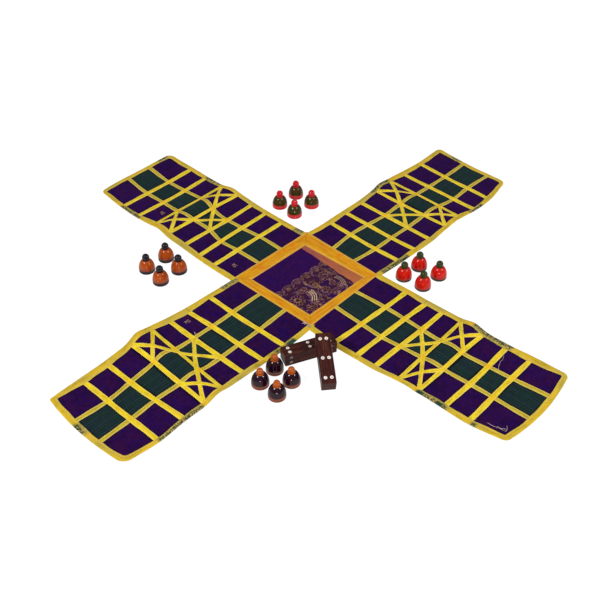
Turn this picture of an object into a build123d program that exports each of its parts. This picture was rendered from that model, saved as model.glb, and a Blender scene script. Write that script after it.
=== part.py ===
from build123d import *
from dataclasses import dataclass
from math import atan, atan2, cos, degrees, radians, sin
import os

# A cross-shaped cloth race board lying open, with sixteen turned wooden men and two long dice.
# Sizes are in millimetres. The origin is on the table under the middle of the board, +Z is up,
# +X runs along the south-east arm and +Y along the north-east arm.

# Plies of the cloth, from the table up, with a hair of air between two plies
LINING = 0.40
SILK = 0.26
RIBBON = 0.16
BINDING_LEAF = 0.30
PLY_GAP = 0.02

# Width of an arm over its bindings, where it leaves the centre and at its end
ROOT_WIDTH = 118.0
END_WIDTH = 110.0

# The centre square stands a little past the arms at each corner, under its ribbon frame
CORNER_EASE = 1.0
CENTRE_SIDE = ROOT_WIDTH + 2 * CORNER_EASE
FRAME_WIDTH = 16.0
MITRE_GAP = 0.10
FACING_END_WIDTH = 17.0

# Edge binding, and how near to its outer edge the silk runs inside it
BINDING = 6.5
TUCK_EDGE = 1.5
SEWING_GAP = 0.10

# Ribbons sewn on the silk, and the seams between its three strips
COLUMN_LINE = 19.0
COLUMN_RIBBON = 5.0
ROW_RIBBON = 6.0
FOLD_ROW_RIBBON = 4.5
CROSS_RIBBON = 4.8
CROSS_OVERRUN = 2.5
STRIP_SEAM = 0.20

# The old fold across the middle of the fifth row stands up as a ridge
RIDGE_HEIGHT = 5.0
RIDGE_RUN = 14.0
FOLD_ROW_LINES = slice(3, 5)
CROSSED_LINES = slice(2, 5)

# The smallest round that a corner keeps where it is drawn in
SHARP_CORNER = 0.5

# Turned man: foot, bell-shaped body and ball knob
MAN_RADIUS = 9.25
FOOT_HEIGHT = 2.5
FOOT_ROUND = 0.8
FOOT_GROOVE = 0.25
WAIST_HEIGHT = 4.5
SHOULDER_RADIUS = 7.5
SHOULDER_HEIGHT = 11.6
NECK_RADIUS = 2.6
NECK_HEIGHT = 16.0
NECK_SLOPE = 0.4
KNOB_RADIUS = 3.65
KNOB_HEIGHT = 18.9

# Long die with inlaid pips, each a ring round a dot
DIE_LENGTH = 57.0
DIE_WIDTH = 14.7
DIE_EDGE = 0.6
DIE_REST_GAP = 0.05
PIP_RADIUS = 1.75
PIP_RING = 0.95
PIP_DOT_RADIUS = 0.5
PIP_DEPTH = 0.6
PIP_PAIR = 6.3
PIP_FROM_END = 6.6
INLAY_GAP = 0.02

# Men and dice are placed from the inner corner between two arms, where their side edges meet
INNER_CORNER = ROOT_WIDTH / 2

# Where the lower die lies: its near right corner, and the direction of its length
LOWER_DIE_CORNER = (INNER_CORNER + 20.3, -INNER_CORNER - 65.1)
LOWER_DIE_YAW = 64.9
# Where the upper die stands on the table: the middle of its near edge, and its direction
UPPER_DIE_FOOT = (INNER_CORNER + 74.0, -INNER_CORNER - 59.9)
UPPER_DIE_YAW = 139.3

# Marks on the four long faces of each die: top, right, bottom, left
LOWER_DIE_MARKS = (6, 4, 1, 3)
UPPER_DIE_MARKS = (6, 3, 1, 4)


@dataclass
class Arm:
    """One arm of the cross, measured from the middle of the board outwards."""

    name: str
    turn: float  # direction of the arm, in degrees from +X
    rows: tuple  # depth of each of its eight rows of cells
    bow: float  # how far the end bulges past its corners
    lean: float  # how far the end strays to the left
    left_corner: float  # rounding of the two end corners
    right_corner: float


ARMS = [
    Arm("southeast", 0, (35.5, 29, 22.5, 26.5, 27, 30, 28, 34), 7.0, 3.0, 8, 8),
    Arm("northeast", 90, (30.5, 28.5, 29.5, 34, 28.5, 25.5, 33, 41.5), 2.5, -0.8, 6, 10),
    Arm("northwest", 180, (34, 26.5, 26.5, 29, 27.5, 29, 28.5, 41), 2.5, -4.6, 9, 10),
    Arm("southwest", 270, (43, 31.5, 25, 26, 27.5, 30.5, 32.5, 33), 6.0, 0.4, 12, 3),
]

# Where the men stand: the side of the board of each set's corner, and how far each man stands
# past that corner in the two directions
MEN = {
    "green": (-1, 1, [(61.6, 17.8), (62.0, 47.5), (33.6, 45.5), (35.0, 16.0)]),
    "amber": (-1, -1, [(84.7, 30.5), (84.8, 59.0), (57.0, 35.1), (57.3, 62.2)]),
    "red": (1, 1, [(22.5, 37.2), (20.8, 10.9), (48.8, 39.0), (46.6, 12.3)]),
    "black": (1, -1, [(15.7, 76.0), (18.7, 99.8), (40.2, 77.3), (42.3, 100.3)]),
}

# Heights that follow from the plies
ROOT = CENTRE_SIDE / 2
SILK_BASE = LINING + PLY_GAP
TRIM_BASE = SILK_BASE + SILK + PLY_GAP
RIBBON_STEP = RIBBON + PLY_GAP
ABOVE_CLOTH = RIDGE_HEIGHT + TRIM_BASE + 4 * RIBBON_STEP + BINDING_LEAF

os.makedirs("parts", exist_ok=True)


def write(name, shape):
    """Label a finished piece and write it to its own file."""
    shape.label = name
    export_step(shape, f"parts/{name}.step")


# The plan of an arm


def lines(arm):
    """Distances from the centre of the lines between the rows, the last one at the end binding."""
    reached = ROOT
    found = []
    for depth in arm.rows:
        reached += depth
        found.append(reached)
    return found


def crease(arm):
    """Distance of the old fold, in the middle of its row."""
    near_line, far_line = lines(arm)[FOLD_ROW_LINES]
    return (near_line + far_line) / 2


def reach(arm):
    """Distance of the end corners."""
    return lines(arm)[-1] + BINDING


def plan_point(arm, distance, across, inset=0.0):
    """Point of the plan: across is -1 on the right edge, 0 on the middle line, 1 on the left edge."""
    share = (distance - ROOT) / (reach(arm) - ROOT)
    half_width = (ROOT_WIDTH + (END_WIDTH - ROOT_WIDTH) * share) / 2
    return (distance, arm.lean * share + across * (half_width - inset))


def column_point(arm, distance, side):
    """Point where a row line meets the seam of the right (-1) or left (1) column."""
    across = plan_point(arm, distance, 0)[1]
    return (distance, across + side * COLUMN_LINE)


def plan_plane(arm):
    """The table, with x along the arm."""
    turn = radians(arm.turn)
    return Plane((0, 0, 0), x_dir=(cos(turn), sin(turn), 0), z_dir=(0, 0, 1))


def side_plane(arm):
    """Upright plane along the arm, with x along the arm and y up."""
    turn = radians(arm.turn)
    return Plane((0, 0, 0), x_dir=(cos(turn), sin(turn), 0), z_dir=(sin(turn), -cos(turn), 0))


def arm_outline(arm, inset=0.0):
    """The arm's plan, drawn in by the inset: straight sides, a bowed end and two rounded corners."""
    end = reach(arm) - inset
    right_end = plan_point(arm, end, -1, inset)
    left_end = plan_point(arm, end, 1, inset)
    bow_top = (end + arm.bow, plan_point(arm, end, 0)[1])
    with BuildSketch(plan_plane(arm)) as outline:
        with BuildLine():
            Polyline(
                left_end,
                plan_point(arm, ROOT, 1, inset),
                plan_point(arm, ROOT, -1, inset),
                right_end,
            )
            ThreePointArc(right_end, bow_top, left_end)
        make_face()
        for side, corner in ((1, arm.left_corner), (-1, arm.right_corner)):
            own = outline.vertices().filter_by(lambda vertex: vertex.Y * side > 0)
            fillet(own.sort_by(Axis.X)[-1], max(corner - inset, SHARP_CORNER))
    return outline.sketch


def strap_plan(arm, straps, overrun):
    """Straight bands, each between two points of the plan and run on past both by the overrun."""
    with BuildSketch(plan_plane(arm)) as bands:
        for start, end, width in straps:
            run = Vector(*end) - Vector(*start)
            with Locations((Vector(*start) + Vector(*end)) / 2):
                Rectangle(run.length + 2 * overrun, width, rotation=degrees(atan2(run.Y, run.X)))
    return bands.sketch


def ply_section(arm, half, base, thickness):
    """A ply seen from the side, out to the fold: flat on the table, then curving up the ridge."""
    fold = crease(arm)
    inward = half == "inner"
    start = ROOT if inward else reach(arm) + arm.bow
    foot = fold - RIDGE_RUN if inward else fold + RIDGE_RUN
    towards_fold = (1, 0) if inward else (-1, 0)
    top = base + thickness
    with BuildSketch(side_plane(arm)) as section:
        with BuildLine():
            Line((start, base), (foot, base))
            TangentArc((foot, base), (fold, base + RIDGE_HEIGHT), tangent=towards_fold)
            Line((fold, base + RIDGE_HEIGHT), (fold, top + RIDGE_HEIGHT))
            TangentArc((foot, top), (fold, top + RIDGE_HEIGHT), tangent=towards_fold)
            Line((foot, top), (start, top))
            Line((start, top), (start, base))
        make_face()
    return section.sketch


# The plies of an arm, each in an inner half and an outer half that meet at the fold


def make_ply(arm, half, base, thickness, inset):
    """One ply, cut to the arm's outline."""
    with BuildPart() as ply:
        extrude(ply_section(arm, half, base, thickness), amount=ROOT_WIDTH, both=True)
        extrude(arm_outline(arm, inset), amount=ABOVE_CLOTH, mode=Mode.INTERSECT)
    return ply.part


def make_silk(arm, half):
    """Three strips of silk side by side, their edges tucked into the binding."""
    whole = make_ply(arm, half, SILK_BASE, SILK, TUCK_EDGE)
    seams = [
        (column_point(arm, ROOT, side), column_point(arm, reach(arm), side), STRIP_SEAM)
        for side in (-1, 1)
    ]
    with BuildPart() as silk:
        add(whole)
        extrude(strap_plan(arm, seams, ROOT_WIDTH), amount=ABOVE_CLOTH, mode=Mode.SUBTRACT)
    return silk.part


def ribbon_levels(arm, half):
    """The straps of each level: along the seams, across the rows, and two levels of crossed ones."""
    row_lines = lines(arm)
    inner_line, near_line, far_line = row_lines[CROSSED_LINES]
    along = [
        (column_point(arm, ROOT, side), column_point(arm, reach(arm), side), COLUMN_RIBBON)
        for side in (-1, 1)
    ]
    own_lines = [line for line in row_lines[:-1] if (line < crease(arm)) == (half == "inner")]
    across = []
    for line in own_lines:
        width = FOLD_ROW_RIBBON if line in (near_line, far_line) else ROW_RIBBON
        across.append((plan_point(arm, line, -1), plan_point(arm, line, 1), width))
    long_left, long_right = (
        (
            plan_point(arm, far_line, side, BINDING),
            column_point(arm, inner_line, -side),
            CROSS_RIBBON,
        )
        for side in (1, -1)
    )
    short_left, short_right = (
        (
            plan_point(arm, near_line, side, BINDING),
            column_point(arm, far_line, side),
            CROSS_RIBBON,
        )
        for side in (1, -1)
    )
    return [along, across, [long_left, short_right], [long_right, short_left]]


def make_ribbons(arm, half):
    """All ribbons of a half, level over level, cut to length at the binding."""
    levels = []
    for level, straps in enumerate(ribbon_levels(arm, half)):
        base = TRIM_BASE + level * RIBBON_STEP
        cloth = make_ply(arm, half, base, RIBBON, BINDING + SEWING_GAP)
        bands = strap_plan(arm, straps, CROSS_OVERRUN)
        with BuildPart() as ribbons:
            add(cloth)
            extrude(bands, amount=ABOVE_CLOTH, mode=Mode.INTERSECT)
        levels.append(ribbons.part)
    with BuildPart() as all_ribbons:
        for ribbon in levels:
            add(ribbon)
    return all_ribbons.part


def make_binding(arm, half):
    """Ribbon folded round the edge: an under leaf, an upper leaf and the slot where the silk runs in."""
    solid_edge = make_ply(arm, half, 0, TRIM_BASE + BINDING_LEAF, 0)
    slot = make_ply(arm, half, LINING, SILK + 2 * PLY_GAP, TUCK_EDGE - PLY_GAP)
    with BuildPart() as binding:
        add(solid_edge)
        extrude(arm_outline(arm, BINDING), amount=ABOVE_CLOTH, mode=Mode.SUBTRACT)
        add(slot, mode=Mode.SUBTRACT)
    return binding.part


for arm in ARMS:
    for half in ("inner", "outer"):
        backing = make_ply(arm, half, 0, LINING, BINDING + SEWING_GAP)
        write(f"{arm.name}_{half}_backing", backing)
        write(f"{arm.name}_{half}_silk", make_silk(arm, half))
        write(f"{arm.name}_{half}_ribbons", make_ribbons(arm, half))
        write(f"{arm.name}_{half}_binding", make_binding(arm, half))

# The centre: lining, brocade panel, mitred ribbon frame, and a wedge of salmon facing along the
# inner north-east side of the frame

with BuildPart() as centre_backing:
    with BuildSketch():
        Rectangle(CENTRE_SIDE, CENTRE_SIDE)
    extrude(amount=LINING)
write("centre_backing", centre_backing.part)

with BuildPart() as centre_brocade:
    with BuildSketch(Plane.XY.offset(SILK_BASE)):
        Rectangle(CENTRE_SIDE - 2 * TUCK_EDGE, CENTRE_SIDE - 2 * TUCK_EDGE)
    extrude(amount=SILK)
write("centre_brocade", centre_brocade.part)

opening = ROOT - FRAME_WIDTH
with BuildPart() as centre_frame:
    for quarter in range(4):
        with BuildSketch(Plane.XY.offset(TRIM_BASE).rotated((0, 0, 90 * quarter))):
            with BuildLine():
                Polyline(
                    (MITRE_GAP - ROOT, ROOT),
                    (ROOT - MITRE_GAP, ROOT),
                    (opening - MITRE_GAP, opening),
                    (MITRE_GAP - opening, opening),
                    close=True,
                )
            make_face()
        extrude(amount=BINDING_LEAF)
write("centre_frame", centre_frame.part)

facing_edge = opening - SEWING_GAP
with BuildPart() as centre_facing:
    with BuildSketch(Plane.XY.offset(TRIM_BASE)):
        with BuildLine():
            Polyline(
                (-facing_edge, facing_edge),
                (facing_edge, facing_edge),
                (facing_edge, facing_edge - FACING_END_WIDTH),
                close=True,
            )
        make_face()
    extrude(amount=RIBBON)
write("centre_facing", centre_facing.part)


# The men


def make_man(x, y):
    """A turned man: half its section, revolved about its own upright axis."""
    foot_radius = MAN_RADIUS - FOOT_ROUND
    knob_start = (NECK_RADIUS, KNOB_HEIGHT - (KNOB_RADIUS**2 - NECK_RADIUS**2) ** 0.5)
    knob_top = (0, KNOB_HEIGHT + KNOB_RADIUS)
    with BuildPart() as man:
        with BuildSketch(Plane((x, y, 0), x_dir=(1, 0, 0), z_dir=(0, -1, 0))):
            with BuildLine():
                Line((0, 0), (foot_radius, 0))
                CenterArc((foot_radius, FOOT_ROUND), FOOT_ROUND, -90, arc_size=90)
                Polyline(
                    (MAN_RADIUS, FOOT_ROUND),
                    (MAN_RADIUS, FOOT_HEIGHT - FOOT_GROOVE),
                    (MAN_RADIUS - FOOT_GROOVE, FOOT_HEIGHT),
                    (MAN_RADIUS, FOOT_HEIGHT + FOOT_GROOVE),
                    (MAN_RADIUS, WAIST_HEIGHT),
                )
                Spline(
                    (MAN_RADIUS, WAIST_HEIGHT),
                    (SHOULDER_RADIUS, SHOULDER_HEIGHT),
                    (NECK_RADIUS, NECK_HEIGHT),
                    tangents=((0, 1), (-1, NECK_SLOPE)),
                )
                Line((NECK_RADIUS, NECK_HEIGHT), knob_start)
                ThreePointArc(knob_start, (KNOB_RADIUS, KNOB_HEIGHT), knob_top)
                Line(knob_top, (0, 0))
            make_face()
        revolve(axis=Axis((x, y, 0), (0, 0, 1)))
    return man.part


for colour, (x_side, y_side, places) in MEN.items():
    for number, (past_x, past_y) in enumerate(places, start=1):
        x = x_side * (INNER_CORNER + past_x)
        y = y_side * (INNER_CORNER + past_y)
        write(f"man_{colour}_{number}", make_man(x, y))


# The dice


def pip_places(marks):
    """Places of the pips on a long face, measured from its middle."""
    far = DIE_LENGTH / 2 - PIP_FROM_END
    side = PIP_PAIR / 2
    return {
        1: [(0, 0)],
        3: [(-far, 0), (0, 0), (far, 0)],
        4: [(-far, -side), (-far, side), (far, -side), (far, side)],
        6: [(-far, -side), (-far, side), (0, -side), (0, side), (far, -side), (far, side)],
    }[marks]


def inlay_plans(die_plane, marks_round, ease=0.0):
    """The rings and dots of the four long faces, eased by a clearance where they are cut as pockets."""
    middle = die_plane.from_local_coords((DIE_LENGTH / 2, DIE_WIDTH / 2, DIE_WIDTH / 2))
    up, left = die_plane.z_dir, die_plane.y_dir
    plans = []
    for outward, marks in zip((up, -left, -up, left), marks_round):
        face = Plane(middle, x_dir=die_plane.x_dir, z_dir=outward).offset(DIE_WIDTH / 2)
        with BuildSketch(face) as pips:
            with Locations(*pip_places(marks)):
                Circle(PIP_RADIUS + ease)
                Circle(PIP_RADIUS - PIP_RING - ease, mode=Mode.SUBTRACT)
                Circle(PIP_DOT_RADIUS + ease)
        plans.append(pips.sketch)
    return plans


def make_die(name, die_plane, marks_round):
    """A square bar with eased edges and pockets, and its inlaid pips as a piece of their own."""
    with BuildPart() as die:
        with BuildSketch(die_plane):
            Rectangle(DIE_LENGTH, DIE_WIDTH, align=(Align.MIN, Align.MIN))
        extrude(amount=DIE_WIDTH)
        fillet(die.edges(), DIE_EDGE)
        for pocket in inlay_plans(die_plane, marks_round, INLAY_GAP):
            extrude(pocket, amount=-PIP_DEPTH - INLAY_GAP, mode=Mode.SUBTRACT)
    write(name, die.part)
    with BuildPart() as pips:
        for pip in inlay_plans(die_plane, marks_round):
            extrude(pip, amount=-PIP_DEPTH)
    write(f"{name}_pips", pips.part)


def direction(yaw):
    """Level direction at an angle from +X."""
    return Vector(cos(radians(yaw)), sin(radians(yaw)), 0)


# The lower die lies flat. The upper one stands on its near edge and leans on the lower die's top
# edge: its slope is set by the side that reaches that edge first.
lower_along = direction(LOWER_DIE_YAW)
lower_plane = Plane((*LOWER_DIE_CORNER, 0), x_dir=lower_along, z_dir=(0, 0, 1))

upper_along = direction(UPPER_DIE_YAW)
upper_left = direction(UPPER_DIE_YAW + 90)
upper_foot = Vector(*UPPER_DIE_FOOT, 0)


def run_to_lower_die(side):
    """Level distance from the upper die's foot to the lower die's edge, along one side."""
    corner = upper_foot + upper_left * (side * DIE_WIDTH / 2)
    to_edge = Vector(*LOWER_DIE_CORNER, 0) - corner
    return to_edge.cross(lower_along).Z / upper_along.cross(lower_along).Z


shortest_run = min(run_to_lower_die(-1), run_to_lower_die(1))
slope = atan((DIE_WIDTH + DIE_REST_GAP) / shortest_run)
upper_rise = upper_along * cos(slope) + Vector(0, 0, sin(slope))
upper_plane = Plane(
    upper_foot - upper_left * (DIE_WIDTH / 2),
    x_dir=upper_rise,
    z_dir=upper_rise.cross(upper_left),
)

make_die("die_lower", lower_plane, LOWER_DIE_MARKS)
make_die("die_upper", upper_plane, UPPER_DIE_MARKS)
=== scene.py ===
from math import atan2, cos, hypot, pi, radians, sin

import bpy
import numpy as np
from mathutils import Matrix, Vector


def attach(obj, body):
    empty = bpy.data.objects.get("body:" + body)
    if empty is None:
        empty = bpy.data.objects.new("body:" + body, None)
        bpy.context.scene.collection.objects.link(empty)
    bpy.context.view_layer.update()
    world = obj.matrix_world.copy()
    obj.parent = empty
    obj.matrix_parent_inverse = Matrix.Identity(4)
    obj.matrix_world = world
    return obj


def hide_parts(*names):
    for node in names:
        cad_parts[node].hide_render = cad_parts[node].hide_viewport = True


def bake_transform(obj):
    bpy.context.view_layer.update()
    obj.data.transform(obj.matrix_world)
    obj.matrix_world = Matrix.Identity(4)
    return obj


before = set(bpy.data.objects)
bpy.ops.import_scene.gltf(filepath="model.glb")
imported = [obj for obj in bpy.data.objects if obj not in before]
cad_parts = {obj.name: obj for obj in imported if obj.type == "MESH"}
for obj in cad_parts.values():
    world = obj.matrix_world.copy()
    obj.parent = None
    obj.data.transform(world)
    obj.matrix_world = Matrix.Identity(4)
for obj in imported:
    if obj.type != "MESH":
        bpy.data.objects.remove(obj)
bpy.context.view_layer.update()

MM = 0.001

# BACKING
# A cross of plain rust-brown cotton, cut as a centre square and four arms, on which everything
# else is sewn. It lies on the table and keeps a raised ridge where each arm was long folded.

BACKING_THICKNESS = 0.40
BACKING_INSET = 4.5
BACKING_START = 60.0
TABLE_GAP = 0.02
RIDGE_RUN = 23.0
CORNER_SPREAD = 24.0
BINDING_WIDTH = 6.5
STRIP_COLUMNS = 30
LEFT, RIGHT, END = 1, -1, 0
PARTS = ("inner", "outer")

# Each arm as it was sewn, in its own frame: along it from the middle of the board, and across it
# to the left. The row lines are given where they meet the left and the right binding, and the
# trims tell how wide the binding is along either side.
ARMS = {
    "southeast": dict(
        turn=0, hinge=6.8, root=60.0, crease=187.0, reach=301.0, bow=4.7, slant=0.0, split=124.5,
        corners={LEFT: 8.0, RIGHT: 8.0}, lifted=(LEFT, 4.0), hump=(5.2, 1.8), starts={LEFT: 52.5, RIGHT: 58.0},
        left_rows=((55, 49), (98, 48.5), (126, 48), (148, 48.5), (172, 49),
                   (201, 48), (230, 47.5), (258, 48.5), (291, 50), (300, 50.5)),
        right_rows=((55, -60.5), (93, -62), (123, -61.5), (146, -61.5), (175, -58.5),
                    (200, -58), (231, -57), (259, -56), (294, -51), (300, -50)),
        left_seam=((55, 13.8), (99, 15.7), (149, 13.5), (201, 12.9), (233, 15.2), (297, 19.6)),
        right_seam=((55, -20.2), (95, -23.2), (122, -24.3), (148, -22.5), (196, -19.3), (299, -17)),
        left_trim=((55, 7.5), (126, 8), (201, 7.5), (230, 8.5), (258, 9.5), (291, 6)),
        right_trim=((55, 6.5), (93, 7.5), (146, 6), (200, 6), (259, 7.5), (294, 6.5)),
    ),
    "northeast": dict(
        turn=90, hinge=9.0, root=60.0, crease=196.75, reach=316.0, bow=-0.8, slant=4.7, split=119.0,
        corners={LEFT: 6.0, RIGHT: 10.0}, lifted=(RIGHT, 1.5), hump=(3.0, 1.8), starts={LEFT: 58.0, RIGHT: 52.5},
        left_rows=((55, 50), (92, 47.5), (120, 47), (150, 47.5), (183, 50.5),
                   (213, 51), (238, 48), (273, 46.5), (313, 48), (319, 48)),
        right_rows=((55, -52.5), (89, -54.5), (118, -56), (147, -57), (182, -55),
                    (209, -55), (235, -60), (266, -59), (309, -53.5), (319, -52.5)),
        left_seam=((55, 14.5), (92, 16.3), (121, 14.3), (149, 10.9), (180, 11.9), (244, 8.4), (316, 7.6)),
        right_seam=((55, -19.7), (89, -22.7), (118, -23.5), (151, -24.4), (206, -25.6), (234, -30), (266, -29.6),
                    (316, -33)),
        left_trim=((55, 7.5), (150, 7.5), (183, 7), (213, 8), (238, 8.5), (273, 7.5), (313, 6.5)),
        right_trim=((55, 6.5), (118, 7.5), (182, 6.5), (209, 7), (235, 5.5), (266, 6.5), (309, 5)),
    ),
    "northwest": dict(
        turn=180, hinge=4.6, root=61.0, crease=189.75, reach=307.4, bow=3.6, slant=1.9, split=120.5,
        corners={LEFT: 9.0, RIGHT: 10.0}, lifted=(RIGHT, 5.0), hump=(3.4, 3.4), starts={LEFT: 58.0, RIGHT: 58.0},
        left_rows=((55, 59.5), (94, 59.5), (119, 58.5), (147, 56), (177, 53),
                   (204, 51.5), (232, 55), (261, 55), (302, 51), (309, 50.5)),
        right_rows=((55, -49.5), (94, -49.5), (122, -50.5), (147, -52), (175, -54.5),
                    (203, -53.5), (233, -52.5), (261, -53), (302, -51.5), (309, -52)),
        left_seam=((55, 22.9), (98, 23.3), (123, 23.8), (148, 18), (202, 18.2), (232, 18), (263, 17.9), (308, 12.8)),
        right_seam=((55, -12.8), (95, -13.5), (122, -11.7), (158, -11), (200, -19.7), (231, -18), (263, -17.7),
                    (308, -21)),
        left_trim=((55, 7), (119, 7.5), (147, 8), (177, 9), (204, 8.5), (232, 7), (302, 5)),
        right_trim=((55, 8), (122, 7), (175, 7), (203, 6), (233, 7), (302, 6)),
    ),
    "southwest": dict(
        turn=270, hinge=11.2, root=62.5, crease=199.25, reach=315.4, bow=3.6, slant=0.9, split=134.5,
        corners={LEFT: 12.0, RIGHT: 3.0}, lifted=(RIGHT, 1.5), hump=(4.0, 6.0), starts={LEFT: 58.0, RIGHT: 58.0},
        left_rows=((55, 53.5), (103, 55.5), (134, 54.5), (160, 53.5), (190, 53),
                   (215, 54.5), (242, 55), (276, 57), (308, 52.5), (317, 51.5)),
        right_rows=((55, -52), (103, -53.5), (135, -53), (159, -55.5), (181, -59),
                    (211, -56), (245, -51), (276, -50.5), (310, -52), (317, -52)),
        left_seam=((55, 19.5), (104, 21.2), (134, 21.8), (157, 22.2), (212, 19.6), (242, 18.3), (272, 19.8),
                   (316, 21)),
        right_seam=((55, -19.1), (105, -19.4), (132, -18.8), (157, -19.5), (210, -21.5), (243, -18.7), (275, -15.3),
                    (316, -16.4)),
        left_trim=((55, 6.5), (134, 7), (215, 6), (276, 5), (308, 6)),
        right_trim=((55, 7.5), (103, 7), (135, 9), (181, 8.5), (211, 7.5), (245, 9.5), (276, 9), (310, 5)),
    ),
}
LEVEL_GROUND = {"turn": 0}


def smooth_line(knots):
    """A function that follows the given places in an easy curve, without corners."""
    xs, ys = (np.array(part, float) for part in zip(*knots))
    slopes = np.gradient(ys, xs)

    def follow(x):
        x = np.clip(np.asarray(x, float), xs[0], xs[-1])
        i = np.clip(np.searchsorted(xs, x) - 1, 0, len(xs) - 2)
        gap = xs[i + 1] - xs[i]
        t = (x - xs[i]) / gap
        return (
            (1 + 2 * t) * (1 - t) ** 2 * ys[i]
            + t * (1 - t) ** 2 * gap * slopes[i]
            + t * t * (3 - 2 * t) * ys[i + 1]
            + t * t * (t - 1) * gap * slopes[i + 1]
        )

    return follow


for arm in ARMS.values():
    for key in ("left_rows", "right_rows", "left_trim", "right_trim", "left_seam", "right_seam"):
        arm[key + "_line"] = smooth_line(arm[key])


def eased(x, start, end):
    """Nothing before start, one after end, and an even rise between them."""
    t = np.clip((np.asarray(x, float) - start) / (end - start), 0, 1)
    return t * t * (3 - 2 * t)


def lie(arm, along, across):
    """How high the table side of the cloth lies: the ridge, a lifted corner and a slight waviness."""
    along, across = np.asarray(along, float), np.asarray(across, float)
    off = np.clip(np.abs(along - arm["crease"]) / RIDGE_RUN, 0, 1)
    left, right = arm["hump"]
    ridge = (right + (left - right) * eased(across, -56, 56)) * (0.5 + 0.5 * np.cos(pi * off)) ** 1.15
    side, height = arm["lifted"]
    to_corner = (arm["reach"] - along) ** 2 + (across - side * 58) ** 2
    corner = height * np.exp(-to_corner / (2 * CORNER_SPREAD**2))
    turn = arm["turn"]
    waves = np.sin(along / 19 + turn) * np.cos(across / 23 + 0.6 * turn) + np.sin(along / 41 + across / 17 + turn)
    free = eased(along, 70, 110) * (1 - eased(14 - np.abs(along - arm["crease"]), -8, 8))
    return ridge + corner + free * 0.24 * (waves + 2) * (0.35 + (across / 55) ** 2)


def place(arm, along, across, height):
    """Points of the board, in metres, from places on an arm in millimetres."""
    turn = radians(arm["turn"])
    along, across = np.asarray(along, float), np.asarray(across, float)
    height = np.asarray(height, float) + np.zeros_like(along)
    x = along * cos(turn) - across * sin(turn)
    y = along * sin(turn) + across * cos(turn)
    return np.stack([x, y, height], -1) * MM


def stations(arm, start, end, gap=1.6):
    """Places along an arm, close together where the cloth bends."""
    near_root = np.arange(arm["root"] - 0.5, arm["root"] + 7.5, 0.6)
    near_crease = np.arange(arm["crease"] - 4, arm["crease"] + 4.1, 0.5)
    places = np.concatenate([np.arange(55.0, 330.0, gap), near_root, near_crease])
    kept = [start]
    for p in np.unique(np.round(places[(places > start + 0.3) & (places < end - 0.3)], 3)):
        if p - kept[-1] > 0.35:
            kept.append(p)
    return np.array(kept + [end])


def looks_up(top):
    """Whether a grid's faces look up, judged on its first face."""
    return np.cross(top[1, 0] - top[0, 0], top[0, 1] - top[0, 0])[2] > 0


def cloth(arm, along, across, top, bottom, uv=None):
    """Points, faces and UVs of a closed sheet on an arm, between two heights and with its face up."""
    upper, lower = place(arm, along, across, top), place(arm, along, across, bottom)
    uv = np.stack([along, across], -1) * MM if uv is None else uv
    if not looks_up(upper):
        upper, lower, uv = upper[:, ::-1], lower[:, ::-1], uv[:, ::-1]
    index = np.arange(upper[..., 0].size).reshape(upper.shape[:2])
    face = np.stack([index[:-1, :-1], index[1:, :-1], index[1:, 1:], index[:-1, 1:]], -1).reshape(-1, 4)
    rim = np.concatenate([index[:, 0], index[-1, 1:], index[-2::-1, -1], index[0, -2:0:-1]])
    following = np.roll(rim, -1)
    wall = np.stack([rim, rim + index.size, following + index.size, following], -1)
    points = np.concatenate([upper.reshape(-1, 3), lower.reshape(-1, 3)])
    return points, np.concatenate([face, face[:, ::-1] + index.size, wall]), np.tile(uv.reshape(-1, 2), (2, 1))


def new_mesh(name, form, *finishes):
    """An object from points in metres, faces and, where given, the place of each point in the cloth."""
    points, faces, *uvs = form
    mesh = bpy.data.meshes.new(name)
    mesh.from_pydata([tuple(p) for p in points], [], [tuple(int(i) for i in f) for f in faces])
    for finish in finishes:
        mesh.materials.append(finish)
    mesh.polygons.foreach_set("use_smooth", np.full(len(mesh.polygons), True))
    if uvs:
        corner = np.zeros(len(mesh.loops), np.int32)
        mesh.loops.foreach_get("vertex_index", corner)
        mesh.uv_layers.new(name="cloth").data.foreach_set("uv", np.asarray(uvs[0], np.float32)[corner].ravel())
    mesh.update()
    made = bpy.data.objects.new(name, mesh)
    bpy.context.scene.collection.objects.link(made)
    return made


def feed(tree, socket, value):
    """Joins a socket to another one, or sets it to a number, a vector or a colour."""
    if isinstance(value, bpy.types.NodeSocket):
        tree.links.new(value, socket)
    else:
        socket.default_value = (*value, 1) if socket.type == "RGBA" else value


def wired(tree, kind, inputs=None, **settings):
    """A node of the given kind, with its settings made and its inputs fed."""
    made = tree.nodes.new(kind)
    for key, value in settings.items():
        setattr(made, key, value)
    for key, value in (inputs or {}).items():
        feed(tree, made.inputs[key], value)
    return made


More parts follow.
